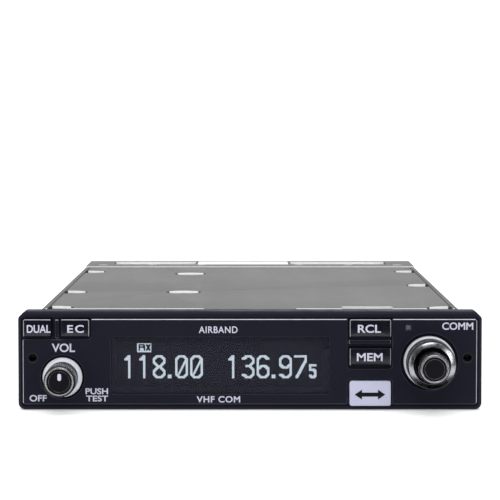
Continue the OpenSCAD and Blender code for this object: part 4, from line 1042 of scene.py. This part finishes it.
def comm_inner_knob():
    back, front = OUTER_REACH - 2, INNER_REACH
    barrel = filleted([(0, back, 0), (5.3, back, .1), (5.3, front - 0.8, .15), (4.9, front - 0.3, .2),
                       (4.2, front - 0.3, .1), (4.2, front - 0.9, .05), (0, front - 0.9, 0)], 4)
    turned_piece("comm_inner_barrel", COMM_AXIS, barrel, "knob_black", knurl=(50, 0.3, 5.3),
                 node="comm_inner_knob")
    rim = filleted([(4.85, front - 0.6, 0), (4.8, front - 0.05, .3), (4.1, front - 0.05, .3),
                    (3.95, front - 0.55, 0)], 5)
    turned_piece("comm_inner_rim", COMM_AXIS, rim, "rim_gloss", body="comm_inner", slot="knob_black")
    add_disc("comm_inner_face", COMM_AXIS, 3.95, front, "comm_inner")


# -------- sheet metal, covers and rear

def refined(node, bevel, extra=(), paint=None, prepare=None):
    """Copy of a CAD node's shape with rounded edges, which stands for the node. The rounded edges wear
    the first extra material; prepare may change the mesh before that, and paint may afterwards."""
    merge = 0.02
    bm = bmesh.new()
    bm.from_mesh(frame["nodes"][node].data)
    bmesh.ops.remove_doubles(bm, verts=bm.verts, dist=merge * MM)
    if prepare:
        prepare(bm)
    bmesh.ops.dissolve_limit(bm, angle_limit=math.radians(1.0), verts=bm.verts, edges=bm.edges)
    edges = [e for e in bm.edges if len(e.link_faces) == 2 and e.calc_face_angle() > math.radians(32)]
    bmesh.ops.bevel(bm, geom=edges, offset=bevel * MM, offset_type="OFFSET", segments=2, profile=0.5,
                    affect="EDGES", clamp_overlap=True, material=1 if extra else -1)
    if paint:
        paint(bm)
    make(node + "_piece", bm, (SLOT_OF[node], *extra), node=node, sharp=40)


BRACKET_STEP = 0.6
TRAY_TOP = span("tray_rear_bracket", 2)[1] - BRACKET_STEP
TRAY_HALF = 73.5
SHEET = 1.0
# The tray's painted light and shade, in the order of the indices below: painted shade, darker painted shade,
# near-white painted light, painted highlight.
TRAY_LOOKS = ("tray_edge_painted_shade", "tray_rim_painted_shade", "tray_cut_painted_light", "tray_lip_painted_highlight")
SHADED_EDGE, SHADED_RIM, LIT_CUT, HIGHLIGHT_LIP = 1, 2, 3, 4


def crisp_folds(bm):
    """Tightens the tray's folded corners to almost square."""
    radius = 1.2
    for vert in bm.verts:
        across = abs(vert.co.x) / MM - (TRAY_HALF - radius)
        up = vert.co.z / MM - (TRAY_TOP - radius)
        if min(across, up) > 0.001 and math.hypot(across, up) > radius - 0.1:
            reach = radius / max(across, up)
            vert.co.x = math.copysign((TRAY_HALF - radius + across * reach) * MM, vert.co.x)
            vert.co.z = (TRAY_TOP - radius + up * reach) * MM


def fold_lines(bm):
    """Narrow grooves along the tray's top, one beside each side wall, with darker painted shade in each
    groove and painted shade on the strip outside it.
    """
    middle_x, half, depth = 71.5, 0.28, 0.5
    skin_z = TRAY_TOP - 0.3
    for side in (-1, 1):
        for x in (middle_x - half, middle_x, middle_x + half):
            top = [f for f in bm.faces if f.normal.z > 0.3 and f.calc_center_median().z / MM > skin_z]
            geometry = set(top)
            for face in top:
                geometry.update(face.edges)
                geometry.update(face.verts)
            place = (side * x * MM, 0, 0)
            bmesh.ops.bisect_plane(bm, geom=list(geometry), plane_co=place, plane_no=(1, 0, 0))
        for vert in bm.verts:
            if abs(vert.co.x - side * middle_x * MM) < 1e-6 and vert.co.z / MM > skin_z:
                vert.co.z -= depth * MM
    for face in bm.faces:
        centre = face.calc_center_median() / MM
        # darker painted shade in each groove
        if abs(abs(centre.x) - middle_x) < half and centre.z > TRAY_TOP - depth:
            face.material_index = SHADED_RIM
        # the strip outside each groove gets the painted shade
        elif abs(centre.x) > middle_x + half and centre.z > TRAY_TOP - 0.1:
            face.material_index = SHADED_EDGE


def paint_tray(bm):
    """Painted light and shade on the tray's cover: bare cut hole walls painted near white, painted
    highlights along the front strip and the slot, darker painted shade on the other rims and the
    hole tips, and painted shade beside the folds.
    """
    front_strip_y, slot_x, slot_y, skin, fold, tip = 22.4, (32.2, 51.2), 31.0, 0.3, 1.3, 0.8
    bm.normal_update()
    for face in bm.faces:
        x, y, z = face.calc_center_median() / MM
        y -= FACE_Y / MM
        across = abs(x)
        in_slot = slot_x[0] < x < slot_x[1] and y < slot_y
        rounded, steep = face.material_index == SHADED_EDGE, abs(face.normal.z) < 0.5
        # rounded top edges: a painted highlight along the front strip and the slot, darker painted shade
        # elsewhere
        if rounded and z > TRAY_TOP - skin and across < TRAY_HALF - fold:
            face.material_index = HIGHLIGHT_LIP if y < front_strip_y or in_slot else SHADED_RIM
        # steep hole walls: near-white painted light, a painted highlight in the slot, darker painted shade at
        # the tips
        elif not rounded and steep and z > TRAY_TOP - SHEET and across < TRAY_HALF - 0.2:
            in_shaded_tip = abs(face.normal.x) > tip and across < TRAY_HALF - 2.2
            face.material_index = HIGHLIGHT_LIP if in_slot else SHADED_RIM if in_shaded_tip else LIT_CUT
        # flat faces beside the side folds get the painted shade
        elif not rounded and z > TRAY_TOP - fold and across > TRAY_HALF - 1.8:
            face.material_index = SHADED_EDGE
    fold_lines(bm)


def paint_bracket(bm):
    """Bare cut edges of the rear bracket with painted light and shade: a painted highlight at its front,
    darker painted shade where they face sideways, near-white painted light elsewhere.
    """
    front_y = span("tray_rear_bracket", 1)[0]
    bm.normal_update()
    for face in bm.faces:
        centre = face.calc_center_median()
        at_front = (centre.y - FACE_Y) / MM < front_y + 0.5
        if abs(face.normal.z) < 0.5 and centre.z / MM > TRAY_TOP:
            face.material_index = HIGHLIGHT_LIP if at_front else SHADED_RIM if abs(face.normal.x) > 0.8 else LIT_CUT


def paint_gasket_with_painted_glow(bm):
    """Mask round the display: all faces of its gasket but the back wear the glass's look, a painted
    glow that gives the rubber the lit glass's tone.
    """
    bm.normal_update()
    for face in bm.faces:
        if face.normal.y < 0.5:
            face.material_index = 1


def sheet_metal():
    refined("tray_cover", 0.18, TRAY_LOOKS, paint_tray, crisp_folds)
    # the tray bottom's rounded edges get the tray's painted shade
    refined("tray_bottom", 0.13, TRAY_LOOKS[:1])
    refined("tray_rear_bracket", 0.1, TRAY_LOOKS, paint_bracket)
    refined("top_cover", 0.12)
    refined("bottom_cover", 0.12)
    refined("heat_sink", 0.2)
    # the gasket wears the display glass's painted glow
    refined("display_gasket", 0.05, ("display_glass",), paint_gasket_with_painted_glow)
    for node in ("tray_rivets", "clinch_nuts", "rear_screws", "rear_connector", "jack_screws", "antenna_nut",
                 "cover_screws", "lock_screw_left", "lock_screw_right", "chassis"):
        refined(node, 0.1)


def finish_cad_nodes():
    for obj in frame["nodes"].values():
        for i, material in enumerate(obj.data.materials):
            obj.data.materials[i] = MATERIALS[material.name.split(".")[0]]


# -------- the whole scene

add_camera()
add_studio()
front_bezel()
face_panel()
display()
sensor()
keys()
panel_legends()
vol_knob()
comm_outer_knob()
comm_inner_knob()
sheet_metal()
finish_cad_nodes()
